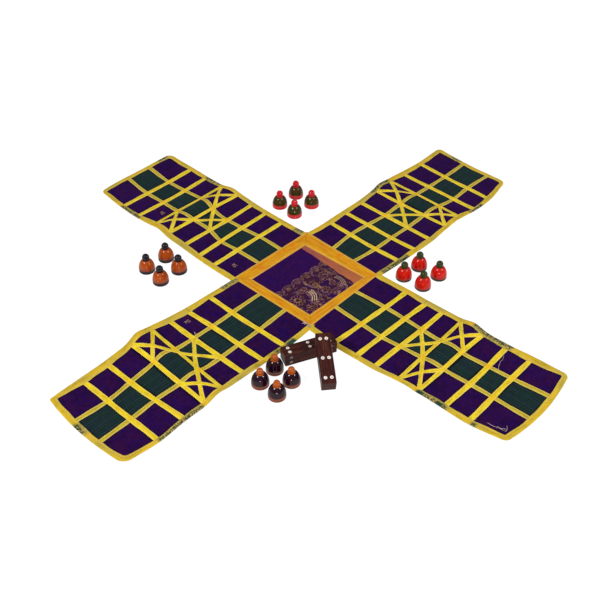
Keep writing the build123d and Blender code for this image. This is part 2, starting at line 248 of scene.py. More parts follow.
class Finish:
    """A material on one Principled shader. Its constants are set on the shader's own sockets."""

    def __init__(self, name, roughness, specular=0.5, **constants):
        self.material = bpy.data.materials.new(name)
        self.material.use_nodes = True
        self.tree = self.material.node_tree
        self.shader = self.tree.nodes["Principled BSDF"]
        constants.update(Roughness=roughness, Specular_IOR_Level=specular)
        for socket, value in constants.items():
            feed(self.tree, self.shader.inputs[socket.replace("_", " ")], value)

    def node(self, kind, inputs=None, **settings):
        return wired(self.tree, "ShaderNode" + kind, inputs, **settings)

    def mapped(self, at, **changes):
        """Coordinates that are stretched or turned."""
        return self.node("Mapping", {"Vector": at, **changes}).outputs[0]

    def on_cloth(self, along=1, across=1):
        """Coordinates on the cloth itself, in metres, stretched to a pattern's proportions."""
        return self.mapped(self.node("UVMap", uv_map="cloth").outputs[0], Scale=(along, across, 1))

    def on_piece(self):
        """Coordinates in the piece's own space, in metres."""
        return self.node("TexCoord").outputs[3]

    def noise(self, at, detail, scale=1.0, **more):
        """Uneven patches at the given coordinates: first one number, then a second one from the colours."""
        return self.node("TexNoise", {"Vector": at, "Scale": scale, "Detail": detail, **more}).outputs

    def uneven(self, along, across, detail, **more):
        """Uneven patches on the cloth, so many to the metre along it and across it."""
        return self.noise(self.on_cloth(along, across), detail, **more)

    def bands(self, way, scale, distortion, detail=2.0, detail_scale=1.0):
        """Bands on the cloth, one after another along it (X) or across it (Y)."""
        inputs = {"Scale": scale, "Distortion": distortion, "Detail": detail, "Detail Scale": detail_scale}
        return self.node("TexWave", {"Vector": self.on_cloth(), **inputs}, bands_direction=way).outputs[1]

    def marked(self, attribute):
        """A number that was told to the points of the piece."""
        return self.node("Attribute", attribute_name=attribute).outputs[2]

    def maths(self, operation, *values):
        return self.node("Math", dict(enumerate(values)), operation=operation).outputs[0]

    def tones(self, factor, *stops, smooth=True):
        """Colours along a scale: each stop is a place, and a colour or one number for a grey."""
        ramp = self.node("ValToRGB", {"Fac": factor})
        ramp.color_ramp.interpolation = "LINEAR" if smooth else "CONSTANT"
        elements = ramp.color_ramp.elements
        while len(elements) < len(stops):
            elements.new(0.5)
        for element, (at, tone) in zip(elements, stops):
            element.position = at
            element.color = (*(tone if isinstance(tone, tuple) else (tone, tone, tone)), 1)
        return ramp.outputs[0]

    def over(self, base, colour, amount):
        """A colour laid over another one by an amount."""
        return self.node("Mix", {0: amount, 6: base, 7: colour}, data_type="RGBA").outputs[2]

    def partly(self, base, colour, mask, share):
        """A colour laid over another one by a share of a mask."""
        return self.over(base, colour, self.maths("MULTIPLY", mask, share))

    def patches(self, base, colour, where, start, end, amount):
        """A colour laid over another one in patches: not at all up to start, and by the amount from end on."""
        return self.over(base, colour, self.tones(where, (start, 0), (end, amount)))

    def weave(self, thread_mm, slub):
        """Heights of a plain weave with uneven threads."""
        warp, weft = (self.bands(way, 314 / thread_mm, 1.2, 1.0) for way in "XY")
        crossing = self.maths("MULTIPLY", warp, weft)
        slubs = self.maths("ADD", self.uneven(60, 2600, 3.0)[0], self.uneven(2600, 60, 3.0)[0])
        return self.maths("MULTIPLY_ADD", slubs, slub, crossing)

    def done(self, colour, height=None, distance=0.0, strength=1.0):
        """The material, with its colour and, where given, the bump of a height joined to the shader."""
        feed(self.tree, self.shader.inputs["Base Color"], colour)
        if height is not None:
            bump = self.node("Bump", {"Height": height, "Distance": distance, "Strength": strength})
            feed(self.tree, self.shader.inputs["Normal"], bump.outputs[0])
        return self.material


cotton = Finish("lining_cotton", 0.95, Sheen_Weight=0.15)
threads = cotton.weave(0.55, 0.35)
faded = cotton.tones(cotton.uneven(14, 14, 4.0)[0], (0.3, (0.23, 0.085, 0.03)), (0.7, (0.30, 0.125, 0.05)))
lining = cotton.done(cotton.partly(faded, (0.16, 0.06, 0.02), threads, 0.35), threads, 0.00012)


def edge_across(arm, along, side, inset):
    """Across place of a side edge, drawn in from the outer edge by the inset."""
    name = "left" if side > 0 else "right"
    return arm[name + "_rows_line"](along) + side * (1 - inset / BINDING_WIDTH) * arm[name + "_trim_line"](along)


def side_edge(arm, side, inset):
    """The line of a side edge, drawn in by the inset."""
    return lambda along: edge_across(arm, along, side, inset)


def end_line(arm, share, inset, bow_share=1.0):
    """How far the end reaches at a share of the way from its right corner to its left one."""
    middle = 2 * share - 1
    return arm["reach"] - inset + arm["slant"] * middle + arm["bow"] * (1 - middle**2) * bow_share


def end_along(arm, across, inset):
    """How far the end reaches at a place across, drawn in by the inset."""
    right, left = (edge_across(arm, arm["reach"], side, 0) for side in (RIGHT, LEFT))
    return end_line(arm, np.clip((across - right) / (left - right), 0, 1), inset, 0.98)


def strip_grid(arm, part, start, right_edge, left_edge, inset):
    """Places of a lengthwise strip: the inner part up to the split, or the outer part from there to the end."""
    reach = arm["reach"] - inset
    run = stations(arm, start, arm["split"]) if part == "inner" else stations(arm, arm["split"], reach)
    share = np.linspace(0, 1, STRIP_COLUMNS)
    along = np.repeat(run[:, None], STRIP_COLUMNS, 1)
    if part == "outer":
        far = (run - arm["crease"] - 16) / (reach - arm["crease"] - 16)
        across = right_edge(run)[:, None] + (left_edge(run) - right_edge(run))[:, None] * share
        along = along + (end_along(arm, across, inset) - reach) * np.clip(far, 0, 1)[:, None]
    return along, right_edge(along) + (left_edge(along) - right_edge(along)) * share


def panel_grid(corner_a, corner_b, corner_c, corner_d, count):
    """Places of a four-cornered panel, as a grid."""
    s = np.linspace(0, 1, count)
    a, b, c, d = (np.array(corner, float) for corner in (corner_a, corner_b, corner_c, corner_d))
    low, high = a + (b - a) * s[:, None], d + (c - d) * s[:, None]
    grid = low[:, None] + (high - low)[:, None] * s[None, :, None]
    return grid[..., 0], grid[..., 1]


def bend_with_arm(piece, arm_name, part):
    """Bakes a piece's placing into its points, the same for the inner and the outer part of an arm."""
    arm = ARMS[arm_name]
    outward = Vector((cos(radians(arm["turn"])), sin(radians(arm["turn"])), 0)) * MM
    if part == "inner":
        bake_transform(piece)
    else:
        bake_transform(piece)


def cut_area(along, across):
    """Flat area of a grid of places, in square metres."""
    da = np.diff(along, axis=0)[:, :-1] * np.diff(across, axis=1)[:-1, :]
    db = np.diff(along, axis=1)[:-1, :] * np.diff(across, axis=0)[:, :-1]
    return float(np.abs(da - db).sum()) * MM * MM


def declare_cloth(along, across):
    """Works out the width, the length and the flat area of a strip of the board, and does nothing further with them.
    """
    width, length = np.ptp(across) * MM, np.ptp(along) * MM
    area = min(cut_area(along, across), width * length)


for arm_name, arm in ARMS.items():
    for part in PARTS:
        edges = [side_edge(arm, side, BACKING_INSET) for side in (RIGHT, LEFT)]
        along, across = strip_grid(arm, part, BACKING_START, *edges, BACKING_INSET)
        low = lie(arm, along, across)
        form = cloth(arm, along, across, low + BACKING_THICKNESS, low + TABLE_GAP)
        backing = new_mesh(f"{arm_name}_{part}_lining", form, lining)
        bend_with_arm(backing, arm_name, part)
        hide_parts(f"{arm_name}_{part}_backing")
        declare_cloth(along, across)

along, across = panel_grid((-60, -60), (57, -60), (55, 53), (-58, 58), 25)
form = cloth(LEVEL_GROUND, along, across, BACKING_THICKNESS, TABLE_GAP)
centre_lining = new_mesh("centre_lining", form, lining)
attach(centre_lining, "board")
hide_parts("centre_backing")
cut_area(along, across)

# SILK FACE
# Three lengths of hand-woven silk sewn edge to edge down each arm: purple, dark green with woven
# stripes, and purple again. Quilted to the backing by the ribbons, each cell swells a little.

SILK_BASE = 0.42
SILK_THICKNESS = 0.26
SILK_INSET = 3.6
SILK_START = 54.0
CELL_SWELL = 0.55
ROW_LINES = range(1, 8)


def row_along(arm, line, across):
    """Where a row line runs at a place across: straight between its two ends."""
    (left_along, left_across), (right_along, right_across) = arm["left_rows"][line], arm["right_rows"][line]
    share = (np.asarray(across, float) - right_across) / (left_across - right_across)
    return right_along + (left_along - right_along) * share


def seam_gap(arm, along, across):
    """Distance to the nearest of the two lengthwise seams."""
    return np.minimum(np.abs(across - arm["left_seam_line"](along)), np.abs(across - arm["right_seam_line"](along)))


def row_gap(arm, along, across):
    """Distance to the nearest row line."""
    return np.min([np.abs(along - row_along(arm, line, across)) for line in ROW_LINES], axis=0)


def edge_gap(arm, along, across):
    """Distance to the binding of the nearer side."""
    left, right = (edge_across(arm, along, side, BINDING_WIDTH) for side in (LEFT, RIGHT))
    return np.minimum(left - across, across - right)


def silk_top(arm, along, across):
    """Height of the silk's face: it swells between the ribbons and the binding."""
    along, across = np.asarray(along, float), np.asarray(across, float)
    to_end = np.minimum(end_along(arm, across, BINDING_WIDTH) - along, along - 60)
    gaps = [measure(arm, along, across) for measure in (seam_gap, row_gap, edge_gap)]
    gap = np.min([*gaps, to_end], axis=0)
    slack = np.sin(along / 2.9 + 2.0 * np.sin(across / 8.0))
    creases = 0.10 * slack * np.sin(across / 5.1 + 1.3 * np.cos(along / 11.0))
    swell = CELL_SWELL * eased(gap, 1.5, 11)
    return lie(arm, along, across) + SILK_BASE + SILK_THICKNESS + swell + creases * eased(gap, 2, 6)


def tell(piece, attribute, values):
    """Gives a number to each point of a piece, which its material reads."""
    piece.data.attributes.new(attribute, "FLOAT", "POINT").data.foreach_set("value", np.asarray(values, np.float32))


def painted_shade_beside_ribbons(arm, along, across):
    """One beside the ribbons and the binding, where the silk is drawn down and painted darker as shade, and nought
    elsewhere.
    """
    to_seam, to_row = seam_gap(arm, along, across) - 2.6, row_gap(arm, along, across) - 3.0
    to_end = end_along(arm, across, BINDING_WIDTH) - along
    return 1 - eased(np.min([to_seam, to_row, edge_gap(arm, along, across), to_end], axis=0), 0.1, 2.0)


def silk_finish(name, dark, light, cross, tint, shot, stripe=None, woven=None):
    """Slubbed silk: threads of two shades, uneven both ways, with a soft sheen and painted shade beside the ribbons.
    """
    silk = Finish(name, 0.62, 0.03, Sheen_Weight=0.05, Sheen_Roughness=0.4, Sheen_Tint=tint)
    threads = silk.weave(0.5, 0.8)
    warp, weft = silk.uneven(45, 1500, 4.0, Roughness=0.7)[0], silk.uneven(1500, 45, 4.0, Roughness=0.7)[0]
    worn, changing = silk.uneven(210, 170, 4.0, Roughness=0.65), silk.uneven(95, 80, 2.0)
    base = silk.tones(warp, (0.32, dark), (0.68, light))
    base = silk.over(base, dark, silk.tones(worn[0], (0.42, 0.75), (0.56, 0)))
    base = silk.patches(base, cross, worn[1], 0.50, 0.62, 0.55)
    base = silk.patches(base, cross, weft, 0.48, 0.75, 0.55)
    base = silk.patches(base, light, silk.uneven(38, 38, 3.0)[0], 0.4, 0.75, 0.5)
    base = silk.patches(base, shot[0], changing[0], 0.50, 0.64, 0.6)
    base = silk.patches(base, shot[1], changing[1], 0.52, 0.66, 0.6)
    if stripe:
        fine, wide = silk.bands("Y", 92.0, 0.5), silk.bands("Y", 31.0, 1.5)
        strength = silk.maths("MULTIPLY_ADD", wide, 0.5, 0.35)
        base = silk.partly(base, stripe, silk.maths("POWER", fine, 2.2), strength)
    if woven:
        curls = silk.uneven(230, 230, 3.0, Roughness=0.55, Distortion=1.1)[0]
        veins = silk.tones(
            curls, (0.36, 0), (0.39, 1), (0.42, 0.1), (0.47, 0), (0.50, 0.8), (0.53, 0.1), (0.58, 0), (0.61, 1),
            (0.65, 0.2),
        )
        thick = silk.tones(silk.uneven(95, 95, 2.0)[0], (0.40, 0.12), (0.54, 0.85))
        ground = silk.partly(silk.over(base, woven[0], thick), woven[1], veins, 0.5)
        base = silk.over(base, ground, silk.marked("gold_half"))
    # Painted shade: the silk is darkened beside the ribbons and the binding.
    base = silk.partly(base, (0.003, 0.001, 0.005), silk.marked("ribbon_shade"), 0.82)
    base = silk.partly(base, (0.002, 0.001, 0.005), threads, 0.2)
    feed(silk.tree, silk.shader.inputs["Roughness"], silk.maths("MULTIPLY_ADD", warp, 0.3, 0.45))
    return silk.done(base, silk.maths("MULTIPLY_ADD", warp, 1.5, threads), 0.00016)


purple_silk = silk_finish(
    "silk_purple", (0.009, 0.001, 0.030), (0.034, 0.0035, 0.098), (0.044, 0.004, 0.040), (0.35, 0.12, 0.75),
    shot=((0.014, 0.001, 0.090), (0.042, 0.003, 0.042)),
)
green_silk = silk_finish(
    "silk_green", (0.005, 0.016, 0.022), (0.013, 0.030, 0.030), (0.008, 0.032, 0.010), (0.25, 0.5, 0.5),
    shot=((0.006, 0.036, 0.018), (0.007, 0.022, 0.042)), stripe=(0.026, 0.046, 0.050),
)

for arm_name, arm in ARMS.items():
    right_side, left_side = (side_edge(arm, side, SILK_INSET) for side in (RIGHT, LEFT))
    lines = [right_side, arm["right_seam_line"], arm["left_seam_line"], left_side]
    strips = {"left": (lines[2:], purple_silk), "middle": (lines[1:3], green_silk), "right": (lines[:2], purple_silk)}
    for part in PARTS:
        for strip, (edges, silk) in strips.items():
            along, across = strip_grid(arm, part, SILK_START, *edges, SILK_INSET)
            top = silk_top(arm, along, across)
            form = cloth(arm, along, across, top, top - SILK_THICKNESS)
            face = new_mesh(f"{arm_name}_{part}_silk_{strip}", form, silk)
            tell(face, "ribbon_shade", painted_shade_beside_ribbons(arm, *(form[2] / MM).T))
            bend_with_arm(face, arm_name, part)
            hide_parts(f"{arm_name}_{part}_silk")
            declare_cloth(along, across)

# RIBBONS
# Narrow satin ribbons, folded double and machine-sewn along both edges. Dull gold ones cover the
# two lengthwise seams, bright yellow ones mark the rows, and narrow ones cross over the safe cells.

RIBBON_STEP = 0.20
FOLDED_LINES = (4, 5)
SEAM_RIBBON, ROW_RIBBON, FOLDED_ROW_RIBBON, LONG_CROSS_RIBBON, SHORT_CROSS_RIBBON = 5.2, 6.0, 4.6, 4.6, 4.3
ribbon_shares = np.array([-1.0, -0.93, -0.72, -0.4, 0.0, 0.4, 0.72, 0.93, 1.0])
ribbon_crown = np.array([0.02, 0.17, 0.12, 0.22, 0.25, 0.22, 0.12, 0.17, 0.02])


def satin_finish(name, deep, bright, edge, amber):
    """Ribbed satin: fine ribs across the ribbon, a painted highlight along its edges, and uneven dye."""
    satin = Finish(name, 0.42, 0.05, Sheen_Weight=0.03, Sheen_Roughness=0.3, Sheen_Tint=(1, 0.85, 0.3))
    ribs, lengths = satin.bands("X", 350.0, 2.0), satin.uneven(25, 2200, 2.0)[0]
    base = satin.tones(satin.uneven(90, 260, 5.0, Roughness=0.65)[0], (0.36, deep), (0.60, bright))
    base = satin.patches(base, amber, satin.uneven(55, 120, 3.0)[0], 0.54, 0.68, 0.7)
    base = satin.patches(base, edge, lengths, 0.45, 0.7, 0.55)
    base = satin.partly(base, deep, ribs, 0.28)
    # Painted highlight: the ribbon's edges are laid over with the pale edge colour.
    base = satin.partly(base, edge, satin.marked("edge_highlight"), 0.8)
    base = satin.partly(base, amber, satin.marked("crossing"), 0.75)
    return satin.done(base, satin.maths("MULTIPLY_ADD", lengths, 0.8, ribs), 0.00010)


row_satin = satin_finish(
    "ribbon_yellow", (0.48, 0.32, 0.006), (0.86, 0.66, 0.006), (0.76, 0.58, 0.085), (0.80, 0.44, 0.004)
)
seam_satin = satin_finish(
    "ribbon_gold", (0.30, 0.21, 0.012), (0.54, 0.42, 0.020), (0.64, 0.50, 0.11), (0.50, 0.30, 0.010)
)


def level_under(arm, along, across, level, lower_crossed=()):
    """Height of what a ribbon of the given level lies on: the silk, and the ribbons that it crosses."""
    to_seam, to_row = seam_gap(arm, along, across), row_gap(arm, along, across)
    high = silk_top(arm, along, across) - CELL_SWELL * 0.35 * eased(np.minimum(to_seam, to_row), 1.5, 11)
    if level > 0:
        high = high + RIBBON_STEP * (1 - eased(to_seam, 2.2, 4.2))
    if level > 1:
        high = high + RIBBON_STEP * (1 - eased(to_row, 2.6, 4.6))
    for path in lower_crossed:
        gap = np.min(np.hypot(along[..., None] - path[:, 0], across[..., None] - path[:, 1]), axis=-1)
        high = high + RIBBON_STEP * (1 - eased(gap, 2.0, 4.0))
    return high


def run_along(path):
    """How far along a path each of its places lies."""
    return np.concatenate([[0], np.cumsum(np.hypot(*np.diff(path, axis=0).T))])


def even_path(path, gap):
    """A path of places, taken again at even distances."""
    path = np.asarray(path, float)
    run = run_along(path)
    at = np.linspace(0, run[-1], max(int(run[-1] / gap), 3) + 1)
    return np.stack([np.interp(at, run, path[:, 0]), np.interp(at, run, path[:, 1])], -1)


def heading(path):
    """Which way a path goes at each of its places."""
    ahead = np.gradient(path, axis=0)
    return ahead / np.maximum(np.hypot(ahead[:, 0], ahead[:, 1]), 1e-6)[:, None]


def beside(path, offsets):
    """Places beside a path, off to its left by the offsets."""
    ahead = heading(path)
    return path[:, :1] - ahead[:, 1:] * offsets, path[:, 1:] + ahead[:, :1] * offsets


def lay_ribbon(arm, path, width, level, seed, lower_crossed=()):
    """A ribbon along a path of places on the arm: its form, the lines of its two seams, and the edges that get a
    painted highlight.
    """
    run = run_along(path)
    phase = np.random.default_rng(seed).uniform(0, 6, 4)
    wide = width / 2 * (1 + 0.06 * np.sin(run / 9 + phase[0]) + 0.04 * np.sin(run / 3.7 + phase[1]))
    sway = 0.25 * np.sin(run / 13 + phase[2])
    offset = sway[:, None] + wide[:, None] * ribbon_shares
    along, across = beside(path, offset)
    rest = level_under(arm, along, across, level, lower_crossed)
    ends = np.minimum(eased(run, 0, 1.2), eased(run[-1] - run, 0, 1.2))[:, None]
    top = rest + 0.05 + ribbon_crown * (0.55 + 0.45 * ends)
    uv = np.stack([np.repeat(run[:, None], len(ribbon_shares), 1) + 7 * seed, offset], -1) * MM
    seams = [np.stack([along[:, k], across[:, k], top[:, k]], -1) for k in (2, -3)]
    return cloth(arm, along, across, top, rest + 0.01, uv), seams, np.abs(np.tile(ribbon_shares, 2 * len(run))) > 0.7


def crossed_ribbons(arm):
    """The diagonal ribbons of the crossed cells: a long and a short one on either side of the middle strip."""
    crossed = []
    for name, other_name, side in (("left", "right", LEFT), ("right", "left", RIGHT)):
        near_edge, far_edge = arm[name + "_rows"][4:6]
        seam, other = arm[name + "_seam_line"], arm[other_name + "_seam_line"]
        inner_row = float(row_along(arm, 3, other(arm["left_rows"][3][0])))
        outer_row = float(row_along(arm, 5, seam(arm["left_rows"][5][0])))
        long_start = (far_edge[0] - 0.5, far_edge[1] + side * 1.2)
        long_end = (inner_row + 0.5, float(other(inner_row)) + side)
        short_start = (near_edge[0] + 0.5, near_edge[1] + side * 1.2)
        short_end = (outer_row + 1.0, float(seam(outer_row)))
        pair = (("long", long_start, long_end, 2.2 * side), ("short", short_start, short_end, -0.8 * side))
        for kind, first, last, bow in pair:
            share = np.linspace(0, 1, 40)
            run = np.array(last) - np.array(first)
            aside = np.array([-run[1], run[0]]) / hypot(*run)
            path = np.array(first) + share[:, None] * run + (bow * np.sin(pi * share))[:, None] * aside
            crossed.append((kind, (kind == "long") == (side == LEFT), even_path(path, 1.5)))
    lower = [path for kind, is_lower, path in crossed if is_lower]
    for number, (kind, is_lower, path) in enumerate(crossed):
        width = LONG_CROSS_RIBBON if kind == "long" else SHORT_CROSS_RIBBON
        yield kind, path, width, 2 if is_lower else 3, 20 + number, () if is_lower else lower


def ribbon_paths(arm, part):
    """Every ribbon of a part of the arm: its kind, path, width, level, number and the crossed ribbons under it."""
    near = part == "inner"
    for number, key in enumerate(("left_seam_line", "right_seam_line"), start=1):
        seam = arm[key]
        end = float(end_along(arm, seam(arm["reach"]), 4.6))
        run = stations(arm, SILK_START, arm["split"], 2.5) if near else stations(arm, arm["split"], end, 2.5)
        yield "seam", np.stack([run, seam(run)], -1), SEAM_RIBBON, 0, number, ()
    for line in ROW_LINES:
        (left_along, left_across), (right_along, right_across) = arm["left_rows"][line], arm["right_rows"][line]
        if (0.5 * (left_along + right_along) < arm["split"] + 4) == near:
            bow = 0.9 * sin(line * 2.3 + arm["turn"])
            share = np.linspace(0, 1, 3 + int((left_across - right_across) / 2.2))
            across = right_across - 2.2 + (left_across - right_across + 4.4) * share
            along = right_along + (left_along - right_along) * share + bow * np.sin(pi * share)
            width = FOLDED_ROW_RIBBON if line in FOLDED_LINES else ROW_RIBBON
            yield "row", np.stack([along, across], -1), width, 1, 10 + line, ()
    if not near:
        yield from crossed_ribbons(arm)


def joined(forms):
    """Several sets of points, faces and UVs as one."""
    starts = np.cumsum([0] + [len(points) for points, _, _ in forms])
    faces = [np.asarray(face) + start for (_, faces, _), start in zip(forms, starts) for face in faces]
    return np.concatenate([form[0] for form in forms]), faces, np.concatenate([form[2] for form in forms])


seam_lines = {}
for arm_name, arm in ARMS.items():
    for part in PARTS:
        forms, pale, kinds = [], [], []
        seam_lines[arm_name, part] = []
        for kind, path, width, level, number, lower in ribbon_paths(arm, part):
            form, seams, edges = lay_ribbon(arm, path, width, level, number + arm["turn"], lower)
            forms.append(form)
            pale.append(edges)
            kinds += [1 if kind == "seam" else 0] * len(form[1])
            seam_lines[arm_name, part].extend(seams)
        points, faces, uvs = joined(forms)
        ribbons = new_mesh(f"{arm_name}_{part}_ribbon_work", (points, faces, uvs), row_satin, seam_satin)
        ribbons.data.polygons.foreach_set("material_index", kinds)
        # Where each ribbon gets its painted edge highlight.
        tell(ribbons, "edge_highlight", np.concatenate(pale))
        turn = radians(arm["turn"])
        along, across = (points[:, :2] @ np.array([[cos(turn), -sin(turn)], [sin(turn), cos(turn)]]) / MM).T
        by_seam = 1 - eased(seam_gap(arm, along, across), 1.0, 4.6)
        crossing = by_seam * (1 - eased(row_gap(arm, along, across), 2.2, 4.6))
        tell(ribbons, "crossing", crossing * (0.5 + 0.5 * np.sin(along / 6.1 + across / 9.0 + arm["turn"])))
        bend_with_arm(ribbons, arm_name, part)
        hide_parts(f"{arm_name}_{part}_ribbons")

# BINDING
# Mustard-gold satin folded round the edge of each arm and sewn through all plies. It was pieced
# from remnants, so here and there a green vine pattern of the border cloth shows.

# The folded section, from its inner edge over the top, round the outer edge and back underneath:
# how far each place is drawn in from the outer edge, and its height.
binding_section = (
    (6.5, 0.66), (6.45, 0.96), (6.0, 1.04), (5.1, 0.98), (3.4, 1.20), (1.7, 1.18), (0.55, 0.96), (0.0, 0.52),
    (0.45, 0.12), (1.6, 0.03), (6.4, 0.03), (6.5, 0.10),
)
# The places of the section that get a painted highlight are the ridge along the binding's inner edge.
OUTERMOST, SEWN, HIGHLIGHT_PLACES = 7, 3, (1, 2, 3)
CORNER_PLACES = 8
END_PLACES = 38

# Where the remnants show: side of the arm, or its end, and from where to where
PATTERNED = {
    "southeast": ((LEFT, 187, 236), (RIGHT, 203, 235), (RIGHT, 262, 268)),
    "northeast": ((END, 14, 30), (RIGHT, 60, 104), (RIGHT, 225, 250), (LEFT, 176, 212)),
    "northwest": ((END, -52, -36), (RIGHT, 208, 234), (LEFT, 227, 263), (RIGHT, 60, 74)),
    "southwest": ((RIGHT, 60, 84), (LEFT, 218, 276), (LEFT, 101, 118), (END, -11, 3)),
}
SOLID_GREEN = {
    "southeast": ((RIGHT, 198, 206), (RIGHT, 222, 229)), "northeast": (), "northwest": (),
    "southwest": ((LEFT, 88.5, 101), (END, -13, -9)),
}


def remnant_share(remnants, along, across, place_on):
    """One where the binding is one of the given remnants, nought elsewhere."""
    share = np.zeros(len(along))
    for side, start, end in remnants:
        coordinate = across if side == END else along
        inside = eased(coordinate, start - 1.5, start + 1.5) * (1 - eased(coordinate, end - 1.5, end + 1.5))
        share = np.maximum(share, inside * (place_on == side))
    return share


satin = Finish("binding_gold", 0.45, 0.05, Sheen_Weight=0.03, Sheen_Roughness=0.3, Sheen_Tint=(1, 0.8, 0.3))
dye, streak = satin.uneven(60, 160, 5.0, Roughness=0.6)[0], satin.uneven(30, 1800, 2.0)[0]
ribs, dashes = satin.bands("X", 260.0, 2.5), satin.bands("X", 130.0, 7.0, detail_scale=2.0)
plain = satin.tones(
    dye,
    (0.34, (0.36, 0.25, 0.012)), (0.46, (0.52, 0.37, 0.018)),
    (0.56, (0.64, 0.43, 0.014)), (0.68, (0.66, 0.34, 0.012)),
)
plain = satin.patches(plain, (0.40, 0.33, 0.055), satin.uneven(17, 40, 2.0)[0], 0.50, 0.64, 0.8)
plain = satin.patches(plain, (0.68, 0.46, 0.13), streak, 0.5, 0.75, 0.5)
plain = satin.partly(plain, (0.36, 0.20, 0.008), ribs, 0.25)
vine_at = {"Vector": satin.on_cloth(1, 1.3), "Scale": 230.0, "Randomness": 1.0}
vine = satin.node("TexVoronoi", vine_at, feature="DISTANCE_TO_EDGE").outputs[0]
leaf = satin.uneven(330, 430, 2.0, Distortion=1.5)[0]
worn = satin.uneven(150, 300, 3.0)[0]
border = satin.tones(worn, (0.40, (0.22, 0.19, 0.045)), (0.50, (0.38, 0.32, 0.10)), (0.62, (0.50, 0.33, 0.11)))
border = satin.over(border, (0.020, 0.034, 0.012), satin.tones(vine, (0.03, 1), (0.10, 0)))
border = satin.patches(border, (0.014, 0.044, 0.012), leaf, 0.55, 0.60, 1)
border = satin.patches(border, (0.026, 0.034, 0.014), dashes, 0.72, 0.86, 0.85)
base = satin.over(plain, border, satin.marked("patterned"))
dark_green = satin.tones(dye, (0.40, (0.008, 0.034, 0.020)), (0.62, (0.030, 0.075, 0.040)))
base = satin.over(base, dark_green, satin.marked("solid_green"))
# Painted highlight along the binding's inner edge.
base = satin.partly(base, (0.62, 0.46, 0.09), satin.marked("edge_highlight"), 0.4)
binding_satin = satin.done(base, satin.maths("MULTIPLY_ADD", streak, 0.8, ribs), 0.00011)


def outline(arm, inset):
    """The arm's edge, drawn in by the inset: up the right side, round the end and down the left side.

    The second result tells how many places lie on each side, with its corner.
    """
    sides = []
    for side in (RIGHT, LEFT):
        reach = arm["reach"] + side * arm["slant"]
        radius = max(arm["corners"][side] - inset, 0.4)
        last = reach - inset - radius
        run = stations(arm, arm["starts"][side], reach - 14.0)
        run = np.concatenate([run, np.linspace(run[-1], last, 4)[1:]])
        straight = np.stack([run, edge_across(arm, run, side, inset)], -1)
        middle = (last, edge_across(arm, last, side, inset) - side * radius)
        angles = np.radians(np.linspace(90, 0, CORNER_PLACES + 1))[1:]
        corner = np.stack([middle[0] + radius * np.cos(angles), middle[1] + side * radius * np.sin(angles)], -1)
        sides.append(np.concatenate([straight, corner]))
    right, left = sides
    share = np.linspace(0, 1, END_PLACES)[1:-1]
    end = np.stack([end_line(arm, share, inset), right[-1, 1] + (left[-1, 1] - right[-1, 1]) * share], -1)
    return np.concatenate([right, end, left[::-1]]), len(right)


def swept(count, around):
    """Faces of a closed section carried along a path, with both ends closed."""
    index = np.arange(count * around).reshape(count, around)
    following = np.roll(index, -1, axis=1)
    faces = np.stack([index[:-1], index[1:], following[1:], following[:-1]], -1).reshape(-1, 4)
    return [*faces, index[0], index[-1][::-1]]


insets, section_heights = np.array(binding_section).T
around = len(insets)
for arm_name, arm in ARMS.items():
    loops = np.stack([outline(arm, inset)[0] for inset in insets], 1)
    per_side, total = outline(arm, insets[0])[1], len(loops)
    run = run_along(loops[:, 0])
    wobble = 1 + 0.05 * np.sin(run / 11) + 0.04 * np.sin(run / 4.3 + 1)
    outer = loops[:, OUTERMOST : OUTERMOST + 1]
    loops = outer + (loops - outer) * wobble[:, None, None]
    number = np.arange(total)
    straight = per_side - CORNER_PLACES
    side = np.where(number < straight, RIGHT, np.where(number >= total - straight, LEFT, END))
    pucker = 0.07 * np.sin(run / 1.9 + 2 * np.sin(run / 7.0)) + 0.10 * np.sin(run / 6.1)
    puckered = section_heights + pucker[:, None] * (section_heights > 0.9)
    height = lie(arm, loops[..., 0], loops[..., 1]) + puckered * (0.75 + 0.25 * eased(loops[..., 0], 55, 59))
    width_at = BINDING_WIDTH - insets + np.where(np.arange(around) > OUTERMOST, 8.0, 0.0)
    uv = np.stack([np.repeat(run[:, None], around, 1), np.repeat(width_at[None], total, 0)], -1) * MM
    outer_along, outer_across = loops[:, OUTERMOST].T
    patterned = remnant_share(PATTERNED[arm_name], outer_along, outer_across, side)
    solid_green = remnant_share(SOLID_GREEN[arm_name], outer_along, outer_across, side)
    near_side = outer_along <= arm["split"] + 0.2
    first, last = int(np.argmax(~near_side)), total - int(np.argmax(~near_side[::-1]))
    runs = {"inner": (slice(0, first), slice(last, total)), "outer": (slice(first - 1, last + 1),)}
    for part, stretches in runs.items():
        forms, shown, greens = [], [], []
        for stretch in stretches:
            rows = loops[stretch]
            points = place(arm, rows[..., 0], rows[..., 1], height[stretch]).reshape(-1, 3)
            forms.append((points, swept(len(rows), around), uv[stretch].reshape(-1, 2)))
            shown.append(np.repeat(patterned[stretch], around))
            greens.append(np.repeat(solid_green[stretch], around))
            sewn = np.stack([loops[..., 0], loops[..., 1], height], -1)[:, SEWN]
            seam_lines[arm_name, part].append(sewn[stretch])
        form = joined(forms)
        binding = new_mesh(f"{arm_name}_{part}_edge_binding", form, binding_satin)
        tell(binding, "edge_highlight", np.tile([k in HIGHLIGHT_PLACES for k in range(around)], len(form[0]) // around))
        tell(binding, "patterned", np.concatenate(shown))
        tell(binding, "solid_green", np.concatenate(greens))
        bend_with_arm(binding, arm_name, part)
        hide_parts(f"{arm_name}_{part}_binding")

# CENTRE PANEL
# A square of purple brocade, its plain half to the north-west and its gold-woven half to the
# south-east, hemmed along one side by a wedge of salmon silk.

CENTRE_FACE = SILK_BASE + SILK_THICKNESS
FACING_THICKNESS = 0.16
facing_foot = ((-41.6, 30.8), (46.4, 23.6))


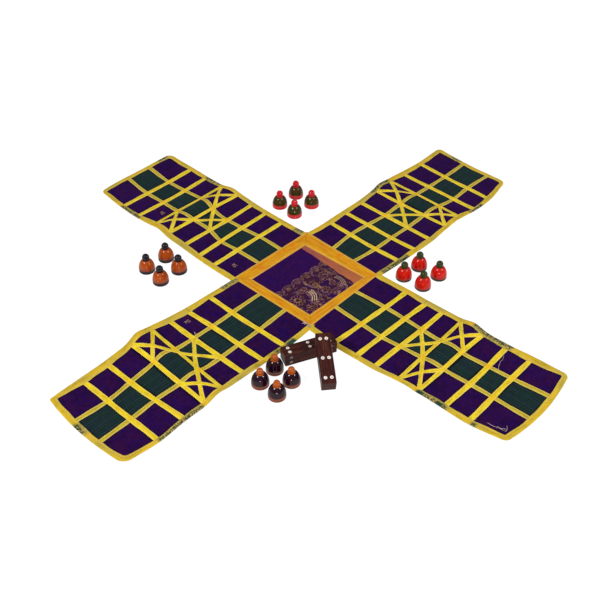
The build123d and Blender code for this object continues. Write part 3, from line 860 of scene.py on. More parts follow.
def panel_rise(x, y):
    """Slight slackness of the panel inside its frame."""
    inside = eased(44 - np.abs(x), -2, 18) * eased(44 - np.abs(y), -2, 18)
    return 0.30 * inside + 0.14 * inside * np.sin(x / 9 + 1.2 * np.sin(y / 13)) * np.cos(y / 11)


def scallops(y):
    """The scalloped border between the panel's plain half and its gold half."""
    return -3.4 - 4.2 * np.abs(np.sin((y + 57) / 15.4 * pi)) ** 0.6


brocade = silk_finish(
    "silk_brocade", (0.016, 0.0012, 0.053), (0.039, 0.005, 0.110), (0.046, 0.005, 0.058), (0.35, 0.12, 0.75),
    shot=((0.018, 0.0012, 0.104), (0.046, 0.0035, 0.070)), woven=((0.050, 0.011, 0.021), (0.105, 0.037, 0.040)),
)
x, y = panel_grid((-50, -55), (51, -55), (53, 30), (-50, 42), 110)
top = CENTRE_FACE + panel_rise(x, y)
form = cloth(LEVEL_GROUND, x, y, top, top - SILK_THICKNESS)
centre_silk = new_mesh("centre_silk", form, brocade)
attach(centre_silk, "board")
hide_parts("centre_brocade")
bare_spots = (
    (24, -26, 3.5), (27, -17, 4.5), (41, -27, 4.5), (44, 12, 5), (34, -50, 3.5),
    (11, -46, 4), (45, -9, 4), (21, 3, 3.5), (12, -14, 3), (33, -34, 3),
)
x, y = (form[2] / MM).T
bare = np.max([np.exp(-((x - at) ** 2 + (y - up) ** 2) / (2 * size**2)) for at, up, size in bare_spots], axis=0)
tell(centre_silk, "gold_half", eased(x, scallops(y) + 0.4, scallops(y) + 1.8) * (1 - 0.9 * bare))

# The woven ornament: a scalloped border, then blossoms, curled leaves and drop shapes in fine
# gold thread, of the kind that many workshops weave.

metal = Finish("gold_thread", 0.5, 0.12, Metallic=0.15)
glint = metal.noise(metal.on_piece(), 2.0, 420.0)[0]
mauve = metal.tones(glint, (0.36, (0.066, 0.023, 0.034)), (0.52, (0.18, 0.075, 0.080)), (0.68, (0.37, 0.19, 0.15)))
golden = metal.tones(glint, (0.36, (0.064, 0.021, 0.020)), (0.52, (0.21, 0.090, 0.045)), (0.68, (0.46, 0.25, 0.09)))
base = metal.patches(mauve, golden, metal.noise(metal.on_piece(), 1.0, 62.0)[0], 0.47, 0.56, 1)
gold_thread = metal.done(metal.over(base, (0.74, 0.55, 0.36), metal.marked("cream")), glint, 0.0001)

THREAD_SHARES = np.array([-1, -0.5, 0.5, 1])


def thread(path, width):
    """A flat gold thread along a path of places, lying on the panel."""
    x, y = beside(path, THREAD_SHARES * width / 2)
    rest = CENTRE_FACE + panel_rise(x, y)
    return cloth(LEVEL_GROUND, x, y, rest + np.array([0.01, 0.09, 0.09, 0.01]), rest - 0.05)


def set_down(at, x, y, turn=0.0, size=1.0):
    """A figure's places x and y, sized, turned and set down at a place."""
    c, s = cos(turn), sin(turn)
    return np.stack([at[0] + size * (c * x - s * y), at[1] + size * (s * x + c * y)], -1)


def drop(at, size, turn, curl):
    """A curled drop: round at one end, with its tip bent to the side."""
    t = np.linspace(0, 2 * pi, 34)
    x, y = 0.5 * np.sin(t) * (1 - np.cos(t)) * 0.9, -np.cos(t)
    return set_down(at, x + curl * 0.35 * np.clip(-y, 0, 1) ** 2, y, turn, size)


def tendril(at, size, turn, way=1):
    """A thread that curls in on itself."""
    t = np.linspace(0, 1, 26)
    angle, reach = turn + way * 4.6 * t, size * (1 - 0.8 * t)
    return set_down(at, reach * np.cos(angle), reach * np.sin(angle))


def in_panel(path):
    """The stretches of a path that lie in the gold half, inside the frame and the facing."""
    (west, low), (east, high) = facing_foot
    x, y = path.T
    facing = low + (x - west) * (high - low) / (east - west)
    inside = (x > -10) & (x < 47) & (y > -51.5) & (y < facing + 1)
    cuts = np.flatnonzero(np.diff(inside.astype(int))) + 1
    pieces = zip(np.split(path, cuts), np.split(inside, cuts))
    return [piece for piece, kept in pieces if len(piece) > 2 and kept[0]]


def blossom(at, size, petals, turn):
    """Threads of a blossom: separate round petals about a ringed heart. Each has its path and width."""
    t = np.linspace(0, 2 * pi, 15)
    out, side = size * (0.68 + 0.32 * np.cos(t)), size * 2.1 / petals * np.sin(t)
    angle = np.linspace(0, 2 * pi, 51)
    ring = size * 0.30 * (0.85 + (1 - 0.85) * np.abs(np.sin(angle * 5 / 2)) ** 0.6)
    drawn = [(set_down(at, out, side, turn + 2 * pi * k / petals), 0.7) for k in range(petals)]
    return drawn + [(set_down(at, ring * np.cos(angle), ring * np.sin(angle)), 0.6)]


def bent_line(start, middle, end, count):
    """Places of a line from start to end, bent towards the middle one."""
    t = np.linspace(0, 1, count)[:, None]
    start, middle, end = (np.array(knot, float) for knot in (start, middle, end))
    return (1 - t) ** 2 * start + 2 * t * (1 - t) * middle + t * t * end


def leafy_stem(start, middle, end, leaves):
    """Threads of a bent stem with a leaf at even steps, on alternate sides."""
    stem = bent_line(start, middle, end, 30)
    drawn = [(stem, 0.6)]
    u = np.linspace(0, 1, 12)
    for k in range(1, leaves + 1):
        here = int(29 * k / (leaves + 1))
        ahead = stem[min(here + 1, 29)] - stem[here]
        turn = atan2(ahead[1], ahead[0]) + (0.9 if k % 2 else -0.9)
        drawn += [(set_down(stem[here], u, way * 0.28 * np.sin(pi * u), turn, 3.2), 0.45) for way in (1, -1)]
    return drawn


def echoed(start, middle, end, apart, count, width, pale):
    """Threads of one bent line drawn several times side by side, like the barbs of a feather."""
    line = bent_line(start, middle, end, 26)
    ahead = heading(line)
    aside = np.stack([-ahead[:, 1], ahead[:, 0]], -1)
    return [(line[k : 26 - k] + aside[k : 26 - k] * apart * k, width, pale) for k in range(count)]


BLOSSOMS = (
    (19.0, -41.0, 9.0, 11), (30.0, -8.5, 8.0, 10), (13.0, 11.0, 8.2, 11), (38.5, -38.5, 6.6, 9), (37.5, 12.5, 6.0, 9),
)
DROPS = (
    (22.0, -24.0, 8.0, 0.6, 1.0), (35.5, -23.5, 6.2, 2.4, -1.0), (10.0, -24.0, 5.0, -0.6, 1.0),
    (25.0, 9.5, 6.4, -2.2, 1.0), (17.0, -7.0, 5.0, 1.9, -1.0), (42.5, 0.0, 5.0, 2.9, 1.0),
)
DROP_RINGS = ((1.0, 0.85), (0.66, 0.6), (0.32, 0.6))
STEMS = (
    ((5, -18), (11, -12), (8, -2), 4), ((28, -50), (34, -46), (45, -50), 4), ((26, -33), (33, -31), (45, -30), 5),
    ((22, 20), (30, 17), (45, 22), 5), ((5, 22), (12, 26), (22, 22), 4), ((44, -12), (40, -16), (30, -17), 3),
    ((6, -36), (9, -33), (12, -32), 2),
)
FEATHERS = (
    ((17, -23), (25, -21), (31, -31), 2.4, 3, 0.9, 0.9), ((22, 16), (31, 20), (38, 12), 1.9, 3, 0.8, 0.35),
    ((3, -15), (17, -17), (25, -6), 1.8, 2, 0.8, 0.15), ((22, -20), (31, -13), (35, -25), 1.8, 2, 0.8, 0.1),
    ((8, -34), (16, -31), (17, -22), 1.7, 3, 0.7, 0.0), ((33, -31), (42, -34), (46, -22), 1.8, 3, 0.7, 0.0),
    ((41, -5), (36, 2), (42, 10), 1.8, 3, 0.7, 0.0), ((5, 4), (13, 5), (17, -3), 1.7, 3, 0.7, 0.0),
    ((3, 20), (12, 15), (21, 22), 1.8, 2, 0.7, 0.1), ((9, -50), (16, -53), (25, -49), 1.7, 2, 0.8, 0.2),
    ((36, 16), (43, 15), (47, 8), 1.7, 2, 0.7, 0.2),
)
up = np.linspace(-57, 40, 260)
drawn = [(np.stack([scallops(up) + shift, up], -1), width) for shift, width in ((0.0, 1.0), (1.9, 0.6), (3.7, 0.55))]
for k in range(6):
    middle = -49.3 + 15.4 * k
    drawn += blossom((-1.6, middle), 3.0, 6, 0.3 * k)
    drawn.append((tendril((2.6, middle + 7.7), 3.6, 2.8), 0.6))
    drawn.append((tendril((3.2, middle + 4.6), 2.6, -2.6, -1), 0.5))
for x, y, size, petals in BLOSSOMS:
    drawn += blossom((x, y), size, petals, 0.2 * x)
for x, y, size, turn, curl in DROPS:
    drawn += [(drop((x, y), size * scale, turn, curl), width) for scale, width in DROP_RINGS]
for stem in STEMS:
    drawn += leafy_stem(*stem)
for feather in FEATHERS:
    drawn += echoed(*feather)
forms, cream = [], []
for path, width, *pale in drawn:
    for stretch in in_panel(path):
        forms.append(thread(stretch, width))
        cream += (pale or [0.0]) * len(forms[-1][0])
ornament = new_mesh("centre_gold_ornament", joined(forms), gold_thread)
tell(ornament, "cream", cream)
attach(ornament, "board")

silk = Finish("facing_salmon", 0.6, 0.1, Sheen_Weight=0.1, Sheen_Roughness=0.35, Sheen_Tint=(1, 0.5, 0.35))
threads = silk.weave(0.45, 0.6)
tone = silk.tones(silk.uneven(70, 700, 4.0)[0], (0.35, (0.27, 0.070, 0.032)), (0.65, (0.50, 0.145, 0.072)))
lengthwise = silk.node("SeparateXYZ", {0: silk.node("UVMap", uv_map="cloth").outputs[0]}).outputs[0]
from_west = silk.maths("MULTIPLY_ADD", lengthwise, 10.0, 0.5)
tone = silk.over(tone, (0.26, 0.070, 0.085), silk.tones(from_west, (0.12, 0.6), (0.5, 0)))
tone = silk.patches(tone, (0.50, 0.17, 0.040), from_west, 0.62, 0.95, 0.55)
salmon = silk.done(silk.partly(tone, (0.2, 0.04, 0.02), threads, 0.2), threads, 0.00012)
x, y = panel_grid(*facing_foot, (51, 43), (-46, 42), 70)
y = y + (0.55 * np.sin(x / 4.7) + 0.4 * np.sin(x / 2.1 + 1)) * eased(33 - y, 0, 8)
top = CENTRE_FACE + FACING_THICKNESS + panel_rise(x, y)
facing = new_mesh("centre_salmon_facing", cloth(LEVEL_GROUND, x, y, top, top - FACING_THICKNESS), salmon)
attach(facing, "board")
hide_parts("centre_facing")

# LOOSE THREADS
# Small curls woven in gold into three cells of the arms, and fine threads that have come loose:
# one on the south-east arm, some at its end, and two tufts by the south corner of the frame.

CURLS = {
    ("southwest", "outer"): (146.8, -42.6),
    ("northwest", "inner"): (76.0, 46.4),
    ("northwest", "outer"): (215.2, 34.6),
}
CURL_SIZE = 3.4
LOOSE = {
    ("southeast", "outer"): (
        ((234.2, 38.8), (236.6, 33), (236.6, 28.9), (238.5, 23), (241.5, 17.3)),
        ((273, -49.3), (279, -49.0), (285, -47.5), (291, -46.8)),
        ((283, -47), (287, -46.5), (290.5, -44)),
        ((289, -40), (291.5, -43), (292, -47)),
    ),
    ("southwest", "outer"): (((152, -21.5), (153.5, -24), (152.8, -26.5)), ((154.5, -22), (153.5, -25))),
}
TUFT_HEIGHT = 1.35

frayed = Finish("frayed_thread", 0.8, 0.05)
fuzz = frayed.noise(frayed.on_piece(), 2.0, 700.0)[0]
frayed_thread = frayed.done(frayed.tones(fuzz, (0.35, (0.30, 0.20, 0.16)), (0.65, (0.74, 0.62, 0.52))))


def arm_thread(arm, path, width, above=0.03):
    """A fine thread along a path of places on an arm, lying on the silk and what covers it."""
    along, across = beside(even_path(path, 0.5), THREAD_SHARES * width / 2)
    rest = silk_top(arm, along, across) + above
    return cloth(arm, along, across, rest + width * np.array([0.1, 0.35, 0.35, 0.1]), rest - 0.02)


for (arm_name, part), (along, across) in CURLS.items():
    marks = [
        tendril((along - 0.5 * CURL_SIZE, across), 0.55 * CURL_SIZE, 0.3),
        tendril((along + 0.5 * CURL_SIZE, across), 0.55 * CURL_SIZE, 3.4),
        [(along + x * CURL_SIZE, across - y * CURL_SIZE) for x, y in ((-0.9, 0.75), (0, 0.6), (0.9, 0.85))],
    ]
    form = joined([arm_thread(ARMS[arm_name], mark, 0.75) for mark in marks])
    curl = new_mesh(f"{arm_name}_{part}_curl", form, gold_thread)
    tell(curl, "cream", np.full(len(form[0]), 0.25))
    bend_with_arm(curl, arm_name, part)

for (arm_name, part), paths in LOOSE.items():
    form = joined([arm_thread(ARMS[arm_name], path, 0.32, 0.12) for path in paths])
    ends = new_mesh(f"{arm_name}_{part}_loose_threads", form, frayed_thread)
    bend_with_arm(ends, arm_name, part)


def tuft(x, y, turn, count, length, seed):
    """Frayed thread ends fanning out from one place beside the frame."""
    rng = np.random.default_rng(seed)
    u = np.linspace(0, 1, 8)[:, None]
    low = TUFT_HEIGHT + 0.25 * np.sin(pi * u) + np.zeros((8, 2))
    found = []
    for _ in range(count):
        way = turn + rng.uniform(-0.55, 0.55)
        reach = length * rng.uniform(0.6, 1.0)
        start = np.array([x, y]) + rng.uniform(-1.2, 1.2, 2)
        ahead, aside = np.array([cos(way), sin(way)]), np.array([-sin(way), cos(way)])
        line = start + reach * u * ahead + rng.uniform(-1, 1) * u * u * aside
        found.append(cloth(LEVEL_GROUND, *beside(line, np.array([-0.16, 0.16])), low + 0.14, low))
    return found


form = joined(tuft(49.5, -61.5, -1.2, 16, 4.6, 3) + tuft(54.5, -62.5, -0.6, 12, 4.2, 5))
tufts = new_mesh("centre_frayed_tufts", form, frayed_thread)
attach(tufts, "board")

# CENTRE FRAME
# Four lengths of orange-gold satin ribbon, folded and mitred into a square frame that covers the
# raw edges where the arms join the centre. Each is sewn down along both edges and the middle.

FRAME_WIDTH = 16.0
FRAME_PLACES = 48
frame_corners = {"west": (-60.5, -62.0), "south": (57.8, -62.3), "east": (55.7, 53.6), "north": (-58.7, 59.2)}
opening = {"west": (-43.4, -49.4), "south": (44.6, -49.4), "east": (46.8, 38.6), "north": (-42.0, 37.4)}
# Across the ribbon: share of its width, height, and how much painted highlight its edge gets there
frame_depth, frame_heights, frame_edge_highlight = np.array((
    (0.0, 0.06, 1), (0.02, 0.26, 1), (0.08, 0.31, 0.9), (0.13, 0.26, 0.2), (0.2, 0.33, 0),
    (0.34, 0.37, 0), (0.44, 0.35, 0), (0.49, 0.30, 0), (0.53, 0.36, 0), (0.7, 0.39, 0),
    (0.82, 0.37, 0.1), (0.87, 0.30, 0.7), (0.93, 0.38, 0.9), (1.0, 0.34, 0.6),
)).T

satin = Finish("ribbon_orange", 0.45, 0.05, Sheen_Weight=0.03, Sheen_Roughness=0.3, Sheen_Tint=(1, 0.7, 0.3))
dye, streak = satin.uneven(40, 330, 5.0, Roughness=0.65)[0], satin.uneven(14, 900, 3.0)[0]
ribs, blot = satin.bands("X", 230.0, 2.0), satin.uneven(75, 95, 4.0, Roughness=0.6)
crosswise = satin.node("SeparateXYZ", {0: satin.node("UVMap", uv_map="cloth").outputs[0]}).outputs[1]
base = satin.tones(dye, (0.34, (0.48, 0.18, 0.006)), (0.48, (0.60, 0.27, 0.006)), (0.64, (0.70, 0.38, 0.010)))
glow = satin.tones(
    satin.maths("MULTIPLY", crosswise, 1000 / FRAME_WIDTH),
    (0.22, 0), (0.36, 0.75), (0.52, 0.1), (0.66, 0.45), (0.84, 0),
)
base = satin.partly(base, (0.72, 0.19, 0.004), glow, satin.tones(streak, (0.40, 0), (0.60, 1)))
base = satin.patches(base, (0.74, 0.42, 0.05), streak, 0.55, 0.75, 0.6)
base = satin.patches(base, (0.72, 0.16, 0.004), blot[0], 0.54, 0.66, 0.75)
base = satin.patches(base, (0.60, 0.40, 0.012), blot[1], 0.60, 0.72, 0.6)
base = satin.partly(base, (0.42, 0.15, 0.004), ribs, 0.22)
# Painted highlight along the ribbon's edges and its fold by the inner edge.
base = satin.partly(base, (0.70, 0.39, 0.08), satin.marked("edge_highlight"), 0.6)
frame_satin = satin.done(base, satin.maths("MULTIPLY_ADD", streak, 1.2, ribs), 0.00014)

forms, pale = [], []
seam_lines["centre", "frame"] = []
share = np.linspace(0, 1, FRAME_PLACES)[:, None]
for number, (first, last) in enumerate((("west", "south"), ("south", "east"), ("east", "north"), ("north", "west"))):
    outer_a, outer_b = (np.array(frame_corners[corner]) for corner in (first, last))
    inner_a, inner_b = (np.array(opening[corner]) for corner in (first, last))
    outer, inner = outer_a + (outer_b - outer_a) * share, inner_a + (inner_b - inner_a) * share
    grid = outer[:, None] + (inner - outer)[:, None] * frame_depth[None, :, None]
    along = share * hypot(*(outer_b - outer_a))
    sway = 0.06 * np.sin(along / 3.1 + number) + 0.05 * np.sin(along / 1.3)
    heights = CENTRE_FACE + 0.10 + frame_heights + sway + 0.012 * number
    across = np.repeat(frame_depth[None] * FRAME_WIDTH, FRAME_PLACES, 0)
    uv = np.stack([np.repeat(along, len(frame_depth), 1) + 150 * number, across], -1) * MM
    forms.append(cloth(LEVEL_GROUND, grid[..., 0], grid[..., 1], heights, CENTRE_FACE + 0.08, uv))
    up = looks_up(place(LEVEL_GROUND, grid[..., 0], grid[..., 1], heights))
    pale.append(np.tile(frame_edge_highlight if up else frame_edge_highlight[::-1], 2 * FRAME_PLACES))
    for k in (3, 7, 11):
        seam_lines["centre", "frame"].append(np.stack([grid[1:-1, k, 0], grid[1:-1, k, 1], heights[1:-1, k]], -1))
centre_frame = new_mesh("centre_ribbon_frame", joined(forms), frame_satin)
tell(centre_frame, "edge_highlight", np.concatenate(pale))
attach(centre_frame, "board")
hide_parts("centre_frame")

# STITCHES
# Gold machine stitches, about ten to the inch, along both edges of every ribbon, the inner edge
# of the binding and three times round the centre frame. They are sunk into the satin.

STITCH_SIZES = {"Pitch": 0.0026, "Stitch length": 0.0019, "Thread width": 0.00034, "Unevenness": 0.12}

gold = Finish("stitch_thread", 0.55, Sheen_Weight=0.3)
twist = gold.noise(gold.on_piece(), 1.0, 1400.0)[0]
stitch_thread = gold.done(gold.tones(twist, (0.35, (0.42, 0.26, 0.02)), (0.65, (0.72, 0.52, 0.09))))

machine_stitches = bpy.data.node_groups.new("machine_stitches", "GeometryNodeTree")
sockets = machine_stitches.interface
sockets.new_socket("Lines", in_out="INPUT", socket_type="NodeSocketGeometry")
for label, size in STITCH_SIZES.items():
    sockets.new_socket(label, in_out="INPUT", socket_type="NodeSocketFloat").default_value = size
sockets.new_socket("Seed", in_out="INPUT", socket_type="NodeSocketInt").default_value = 7
sockets.new_socket("Thread", in_out="INPUT", socket_type="NodeSocketMaterial")
sockets.new_socket("Stitches", in_out="OUTPUT", socket_type="NodeSocketGeometry")


def step(kind, inputs=None, **settings):
    """The result of one step of the stitches' geometry nodes."""
    return wired(machine_stitches, kind, inputs, **settings).outputs


given = step("NodeGroupInput")
lines = step("GeometryNodeMeshToCurve", {0: given["Lines"]})[0]
steps = step("GeometryNodeResampleCurve", {"Curve": lines, "Length": given["Pitch"]}, mode="LENGTH")[0]
grain = step("GeometryNodeMeshUVSphere", {"Segments": 6, "Rings": 4, "Radius": 0.5})[0]
thick = given["Thread width"]
size = step("ShaderNodeCombineXYZ", {0: given["Stitch length"], 1: thick, 2: thick})[0]
stitch = step("GeometryNodeTransform", {"Geometry": grain, "Scale": size})[0]
aim = step("FunctionNodeAlignRotationToVector", {"Vector": step("GeometryNodeInputTangent")[0]}, axis="X")[0]
about_one = {0: 1.0, 1: given["Unevenness"]}
least, most = (step("ShaderNodeMath", about_one, operation=way)[0] for way in ("SUBTRACT", "ADD"))
uneven = step("FunctionNodeRandomValue", {2: least, 3: most, "Seed": given["Seed"]}, data_type="FLOAT")[1]
placing = {"Points": steps, "Instance": stitch, "Rotation": aim, "Scale": uneven}
laid = step("GeometryNodeInstanceOnPoints", placing)[0]
real = step("GeometryNodeRealizeInstances", {0: laid})[0]
step("NodeGroupOutput", {0: step("GeometryNodeSetMaterial", {"Geometry": real, "Material": given["Thread"]})[0]})


def stitched(name, lines, arm, seed):
    """The stitches along several lines of places, as one mesh."""
    points, edges, start = [], [], 0
    for line in lines:
        points.append(place(arm, line[:, 0], line[:, 1], line[:, 2] + 0.03))
        edges.extend((start + k, start + k + 1) for k in range(len(line) - 1))
        start += len(line)
    mesh = bpy.data.meshes.new(name)
    mesh.from_pydata([tuple(p) for p in np.concatenate(points)], edges, [])
    made = bpy.data.objects.new(name, mesh)
    bpy.context.scene.collection.objects.link(made)
    modifier = made.modifiers.new("stitches", "NODES")
    modifier.node_group = machine_stitches
    identifiers = {item.name: item.identifier for item in sockets.items_tree if item.item_type == "SOCKET"}
    modifier[identifiers["Seed"]] = seed
    modifier[identifiers["Thread"]] = stitch_thread
    bpy.context.view_layer.update()
    evaluated = made.evaluated_get(bpy.context.evaluated_depsgraph_get())
    final = bpy.data.meshes.new_from_object(evaluated)
    made.modifiers.remove(modifier)
    made.data = final
    bpy.data.meshes.remove(mesh)
    final.polygons.foreach_set("use_smooth", np.full(len(final.polygons), True))
    return made


for number, ((arm_name, part), lines) in enumerate(seam_lines.items()):
    if arm_name == "centre":
        stitches = stitched("centre_stitches", lines, LEVEL_GROUND, number)
        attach(stitches, "board")
    else:
        stitches = stitched(f"{arm_name}_{part}_stitches", lines, ARMS[arm_name], number)
        bend_with_arm(stitches, arm_name, part)

# MEN
# Sixteen pawns turned from soft wood and lacquered on the lathe, four to a player: a flat foot, a
# bell-shaped body and a ball knob. Foot and knob have a second colour.

AROUND = 56
NECK_HEIGHT = 15.9
KNOB_FROM = 15.87
KNOB_SHARE = 0.682
LACQUER_TOP = 22.6
man_profile = (
    (0.0, 0.0), (7.6, 0.0), (8.45, 0.0), (8.85, 0.12), (9.1, 0.4), (9.22, 0.85),
    (9.25, 1.4), (9.25, 2.05), (9.16, 2.3), (9.0, 2.42), (8.98, 2.56), (9.12, 2.7),
    (9.24, 3.0), (9.25, 3.7), (9.22, 4.6), (9.1, 5.8), (8.9, 7.1), (8.58, 8.5),
    (8.15, 9.9), (7.6, 11.3), (6.9, 12.6), (6.05, 13.8), (5.1, 14.75), (4.1, 15.45), (3.5, 15.75), (3.1, 15.85),
    (2.95, 15.9), (2.88, 16.0), (2.92, 16.1), (3.2, 16.3), (3.55, 16.7), (3.85, 17.3), (4.0, 18.1), (4.03, 18.8),
    (3.9, 19.7), (3.6, 20.5), (3.1, 21.3), (2.45, 21.95), (1.65, 22.35), (0.8, 22.53), (0.0, 22.58),
)

# Each set: the colours of its lacquer (low is a darker body colour, painted as shade towards the foot and also used
# for the turned rings), how high its foot's colour reaches, its knobs' size, and where its men stand
MEN = {
    "green": dict(
        foot=(0.46, 0.010, 0.012), foot_height=5.8, body=(0.030, 0.025, 0.002), low=(0.016, 0.018, 0.002),
        streak=(0.085, 0.042, 0.003), knob=(0.50, 0.008, 0.014), clouds=(0.075, 0.012, 0.003), knob_size=1.0,
        places=((-120.6, 76.8), (-121.0, 106.5), (-92.6, 104.5), (-94.0, 75.0)),
    ),
    "amber": dict(
        foot=(0.016, 0.004, 0.007), foot_height=4.7, body=(0.32, 0.048, 0.002), low=(0.14, 0.016, 0.002),
        streak=(0.42, 0.080, 0.003), knob=(0.008, 0.005, 0.010), clouds=(0.22, 0.020, 0.001), knob_size=1.03,
        places=((-143.7, -89.5), (-143.8, -118.0), (-116.0, -94.1), (-116.3, -121.2)),
    ),
    "red": dict(
        foot=(0.030, 0.026, 0.010), foot_height=3.3, body=(0.50, 0.006, 0.002), low=(0.30, 0.004, 0.002),
        streak=(0.58, 0.010, 0.002), knob=(0.026, 0.034, 0.006), clouds=(0.42, 0.006, 0.004), knob_size=1.0,
        places=((81.5, 96.2), (79.8, 69.9), (107.8, 98.0), (105.6, 71.3)),
    ),
    "black": dict(
        foot=(0.17, 0.040, 0.012), foot_height=5.0, body=(0.010, 0.001, 0.005), low=(0.014, 0.001, 0.003),
        streak=(0.040, 0.001, 0.004), knob=(0.36, 0.072, 0.007), clouds=(0.010, 0.002, 0.016), knob_size=0.87,
        places=((74.7, -135.0), (77.7, -158.8), (99.2, -136.3), (101.3, -159.3)),
    ),
}


def lacquer_finish(name, foot, foot_height, body, low, streak, knob, clouds, **_):
    """Lathe lacquer: colours in bands by height, painted shade on the lower body, turned streaks, and a hard gloss.
    """
    lacquer = Finish(name, 0.4, 0.0, Coat_Weight=0.75, Coat_Roughness=0.06, Coat_IOR=1.42)
    at = lacquer.on_piece()
    wander = lacquer.maths("SUBTRACT", lacquer.noise(at, 2.0, 400.0)[0], 0.5)
    height = lacquer.maths("MULTIPLY_ADD", wander, 0.6 * MM, lacquer.node("SeparateXYZ", {0: at}).outputs[2])
    up = lacquer.maths("DIVIDE", height, LACQUER_TOP * MM)
    flow = lacquer.noise(lacquer.mapped(at, Scale=(260, 260, 90)), 4.0, Roughness=0.6, Distortion=0.6)
    rings = lacquer.noise(lacquer.mapped(at, Scale=(40, 40, 1900)), 3.0)[0]
    # Painted shade: the body darkens towards the foot.
    base = lacquer.over(body, low, lacquer.tones(up, (0.1, 1), (0.42, 0)))
    base = lacquer.patches(base, streak, flow[0], 0.45, 0.72, 0.55)
    base = lacquer.patches(base, clouds, flow[1], 0.50, 0.60, 0.7)
    base = lacquer.patches(base, low, rings, 0.5, 0.8, 0.3)
    ends = lacquer.tones(up, (0.0, foot), (0.4, knob), smooth=False)
    is_body = lacquer.tones(up, (0.0, 0), (foot_height / LACQUER_TOP, 1), (KNOB_SHARE, 0), smooth=False)
    return lacquer.done(lacquer.over(ends, base, is_body), rings, 0.00002, 0.6)


def turned_man(name, x, y, lacquer, knob_size):
    """A pawn as the lathe leaves it, on its own upright axis, with its knob turned larger or smaller."""
    profile = np.array([
        (r * knob_size, NECK_HEIGHT + (z - NECK_HEIGHT) * knob_size) if z > KNOB_FROM else (r, z)
        for r, z in man_profile
    ])
    radius, height = profile[1:-1, 0, None], profile[1:-1, 1, None]
    angle = np.linspace(0, 2 * pi, AROUND, endpoint=False)
    ring = np.stack([radius * np.cos(angle), radius * np.sin(angle), np.repeat(height, AROUND, 1)], -1)
    points = np.concatenate([ring.reshape(-1, 3), [[0, 0, 0], [0, 0, profile[-1][1]]]])
    index = np.arange(ring[..., 0].size).reshape(len(ring), AROUND)
    following = np.roll(index, -1, axis=1)
    faces = list(np.stack([index[:-1], following[:-1], following[1:], index[1:]], -1).reshape(-1, 4))
    bottom, top = len(points) - 2, len(points) - 1
    faces += [[bottom, following[0, k], index[0, k]] for k in range(AROUND)]
    faces += [[top, index[-1, k], following[-1, k]] for k in range(AROUND)]
    return new_mesh(name, ((points + np.array([x, y, 0])) * MM, faces), lacquer)


for colour, made in MEN.items():
    lacquer = lacquer_finish(f"lacquer_{colour}", **made)
    for number, (x, y) in enumerate(made["places"], start=1):
        man = turned_man(f"pawn_{colour}_{number}", x, y, lacquer, made["knob_size"])
        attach(man, f"man_{colour}_{number}")
        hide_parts(f"man_{colour}_{number}")

# DICE
# Two long dice sawn square from dark rosewood, their edges eased and waxed by handling. Each pip
# is drilled as a ring round a dot and filled with white paste.

WHITE_PASTE_DEPTH = 0.9
DICE = {"die_lower": (radians(64.9), 0.0), "die_upper": (radians(139.3), radians(17.8))}


def along_die(finish, yaw, slope):
    """Coordinates along a die, which is turned on the table and leans by its slope."""
    return finish.mapped(finish.mapped(finish.on_piece(), Rotation=(0, 0, -yaw)), Rotation=(0, slope, 0))


def wood_finish(name, yaw, slope):
    """Dark wood with its grain along the die."""
    wood = Finish(name, 0.5, 0.05, Coat_Weight=0.03, Coat_Roughness=0.3)
    at = along_die(wood, yaw, slope)
    grain = wood.noise(wood.mapped(at, Scale=(28, 520, 520)), 6.0, Roughness=0.7, Distortion=0.4)[0]
    bands = wood.noise(wood.mapped(at, Scale=(9, 150, 150)), 3.0, Distortion=0.8)[0]
    pores = wood.noise(wood.mapped(at, Scale=(160, 2600, 2600)), 2.0)[0]
    dark, middle, light = (0.015, 0.004, 0.005), (0.046, 0.012, 0.010), (0.105, 0.032, 0.014)
    base = wood.tones(grain, (0.34, dark), (0.50, middle), (0.66, light))
    base = wood.patches(base, (0.026, 0.006, 0.010), bands, 0.45, 0.7, 0.6)
    base = wood.patches(base, (0.006, 0.002, 0.002), pores, 0.62, 0.68, 0.8)
    feed(wood.tree, wood.shader.inputs["Roughness"], wood.maths("MULTIPLY_ADD", grain, 0.3, 0.28))
    return wood.done(base, wood.maths("SUBTRACT", grain, pores), 0.00012)


def paste_finish(name, yaw, slope, level):
    """White paste, bright on the upper face of a die and much darker below the given level."""
    paste = Finish(name, 0.7)
    chalk = paste.noise(paste.on_piece(), 3.0, 900.0)[0]
    upper_white = paste.tones(chalk, (0.35, (0.55, 0.47, 0.42)), (0.6, (0.86, 0.82, 0.78)))
    darkened = paste.tones(chalk, (0.40, (0.030, 0.018, 0.020)), (0.66, (0.20, 0.16, 0.16)))
    height = paste.node("SeparateXYZ", {0: along_die(paste, yaw, slope)}).outputs[2]
    return paste.done(paste.partly(upper_white, darkened, paste.maths("LESS_THAN", height, level), 0.92), chalk, 0.0001)


for die, (yaw, slope) in DICE.items():
    block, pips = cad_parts[die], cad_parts[f"{die}_pips"]
    heights = [v.co.z * cos(slope) - (v.co.x * cos(yaw) + v.co.y * sin(yaw)) * sin(slope) for v in pips.data.vertices]
    wood = wood_finish(f"dark_wood_{die}", yaw, slope)
    paste = paste_finish(f"white_inlay_{die}", yaw, slope, max(heights) - WHITE_PASTE_DEPTH * MM)
    for piece, material in ((block, wood), (pips, paste)):
        piece.data.materials.clear()
        piece.data.materials.append(material)

# TABLE, LIGHT AND CAMERA
# A white table top, three soft lamps and an even sky, and a camera at the photograph's angle,
# just over a metre away.

PHOTO_WIDTH = 612
FOCAL_PIXELS = 934
SENSOR_WIDTH = 36.0
CAMERA_DISTANCE = 1.06
LAMP_DISTANCE = 1.9
ELEVATION, HEADING, ROLL = radians(39.34), radians(131.98), radians(0.49)

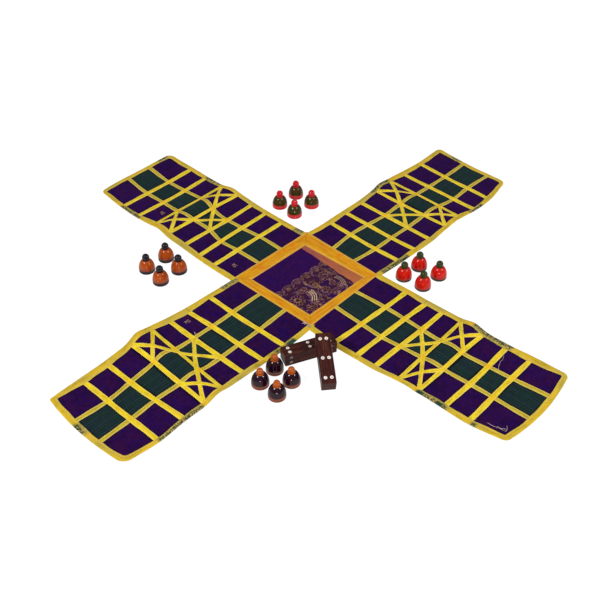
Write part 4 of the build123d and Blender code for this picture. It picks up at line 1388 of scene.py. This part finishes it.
white = Finish("table_white", 0.9, 0.0, Emission_Color=(1, 1, 1), Emission_Strength=0.95)
floor = np.array([[-8, -8, -0.0003], [8, -8, -0.0003], [8, 8, -0.0003], [-8, 8, -0.0003]])
table = new_mesh("table_top", (floor, [(0, 1, 2, 3)]), white.done((0.12, 0.12, 0.12)))

world = bpy.data.worlds.new("even_sky")
world.use_nodes = True
world.node_tree.nodes["Background"].inputs[0].default_value = (1, 1, 1, 1)
world.node_tree.nodes["Background"].inputs[1].default_value = 0.32
bpy.context.scene.world = world
bpy.context.scene.view_settings.view_transform = "Standard"


def lamp(name, place_at, aim_at, size, power):
    """A soft rectangular lamp."""
    data = bpy.data.lights.new(name, "AREA")
    data.shape, data.size, data.size_y = "RECTANGLE", *size
    data.energy = power
    made = bpy.data.objects.new(name, data)
    made.location = place_at
    made.rotation_euler = (Vector(aim_at) - Vector(place_at)).to_track_quat("-Z", "Y").to_euler()
    bpy.context.scene.collection.objects.link(made)


forward = Vector((cos(ELEVATION) * cos(HEADING), cos(ELEVATION) * sin(HEADING), -sin(ELEVATION)))
level_right = Vector((sin(HEADING), -cos(HEADING), 0))
level_up = level_right.cross(forward)
right = level_right * cos(ROLL) + level_up * sin(ROLL)
toward = Vector((-cos(HEADING), -sin(HEADING), 0))
left_lamp = (level_right * -0.557 + toward * 0.437 + Vector((0, 0, 0.701))) * LAMP_DISTANCE
right_lamp = (level_right * 0.70 + toward * 0.27 + Vector((0, 0, 0.66))) * LAMP_DISTANCE
lamp("lamp_left", left_lamp, (0, 0, 0), (0.36, 0.44), 22.6)
lamp("lamp_right", right_lamp, (0, 0, 0), (0.34, 0.42), 19.4)
lamp("lamp_front", toward * 1.35 + Vector((0, 0, 0.13)), (0, 0, 0.01), (0.10, 0.10), 3.0)

camera_data = bpy.data.cameras.new("camera")
camera = bpy.data.objects.new("camera", camera_data)
axes = Matrix((right, right.cross(forward), -forward)).transposed().to_4x4()
camera.matrix_world = Matrix.Translation(-forward * CAMERA_DISTANCE) @ axes
camera_data.sensor_width = SENSOR_WIDTH
camera_data.lens = FOCAL_PIXELS / PHOTO_WIDTH * SENSOR_WIDTH
camera_data.shift_x, camera_data.shift_y = -4.0 / PHOTO_WIDTH, -29.8 / PHOTO_WIDTH
camera_data.clip_end = 50
bpy.context.scene.collection.objects.link(camera)
bpy.context.scene.camera = camera
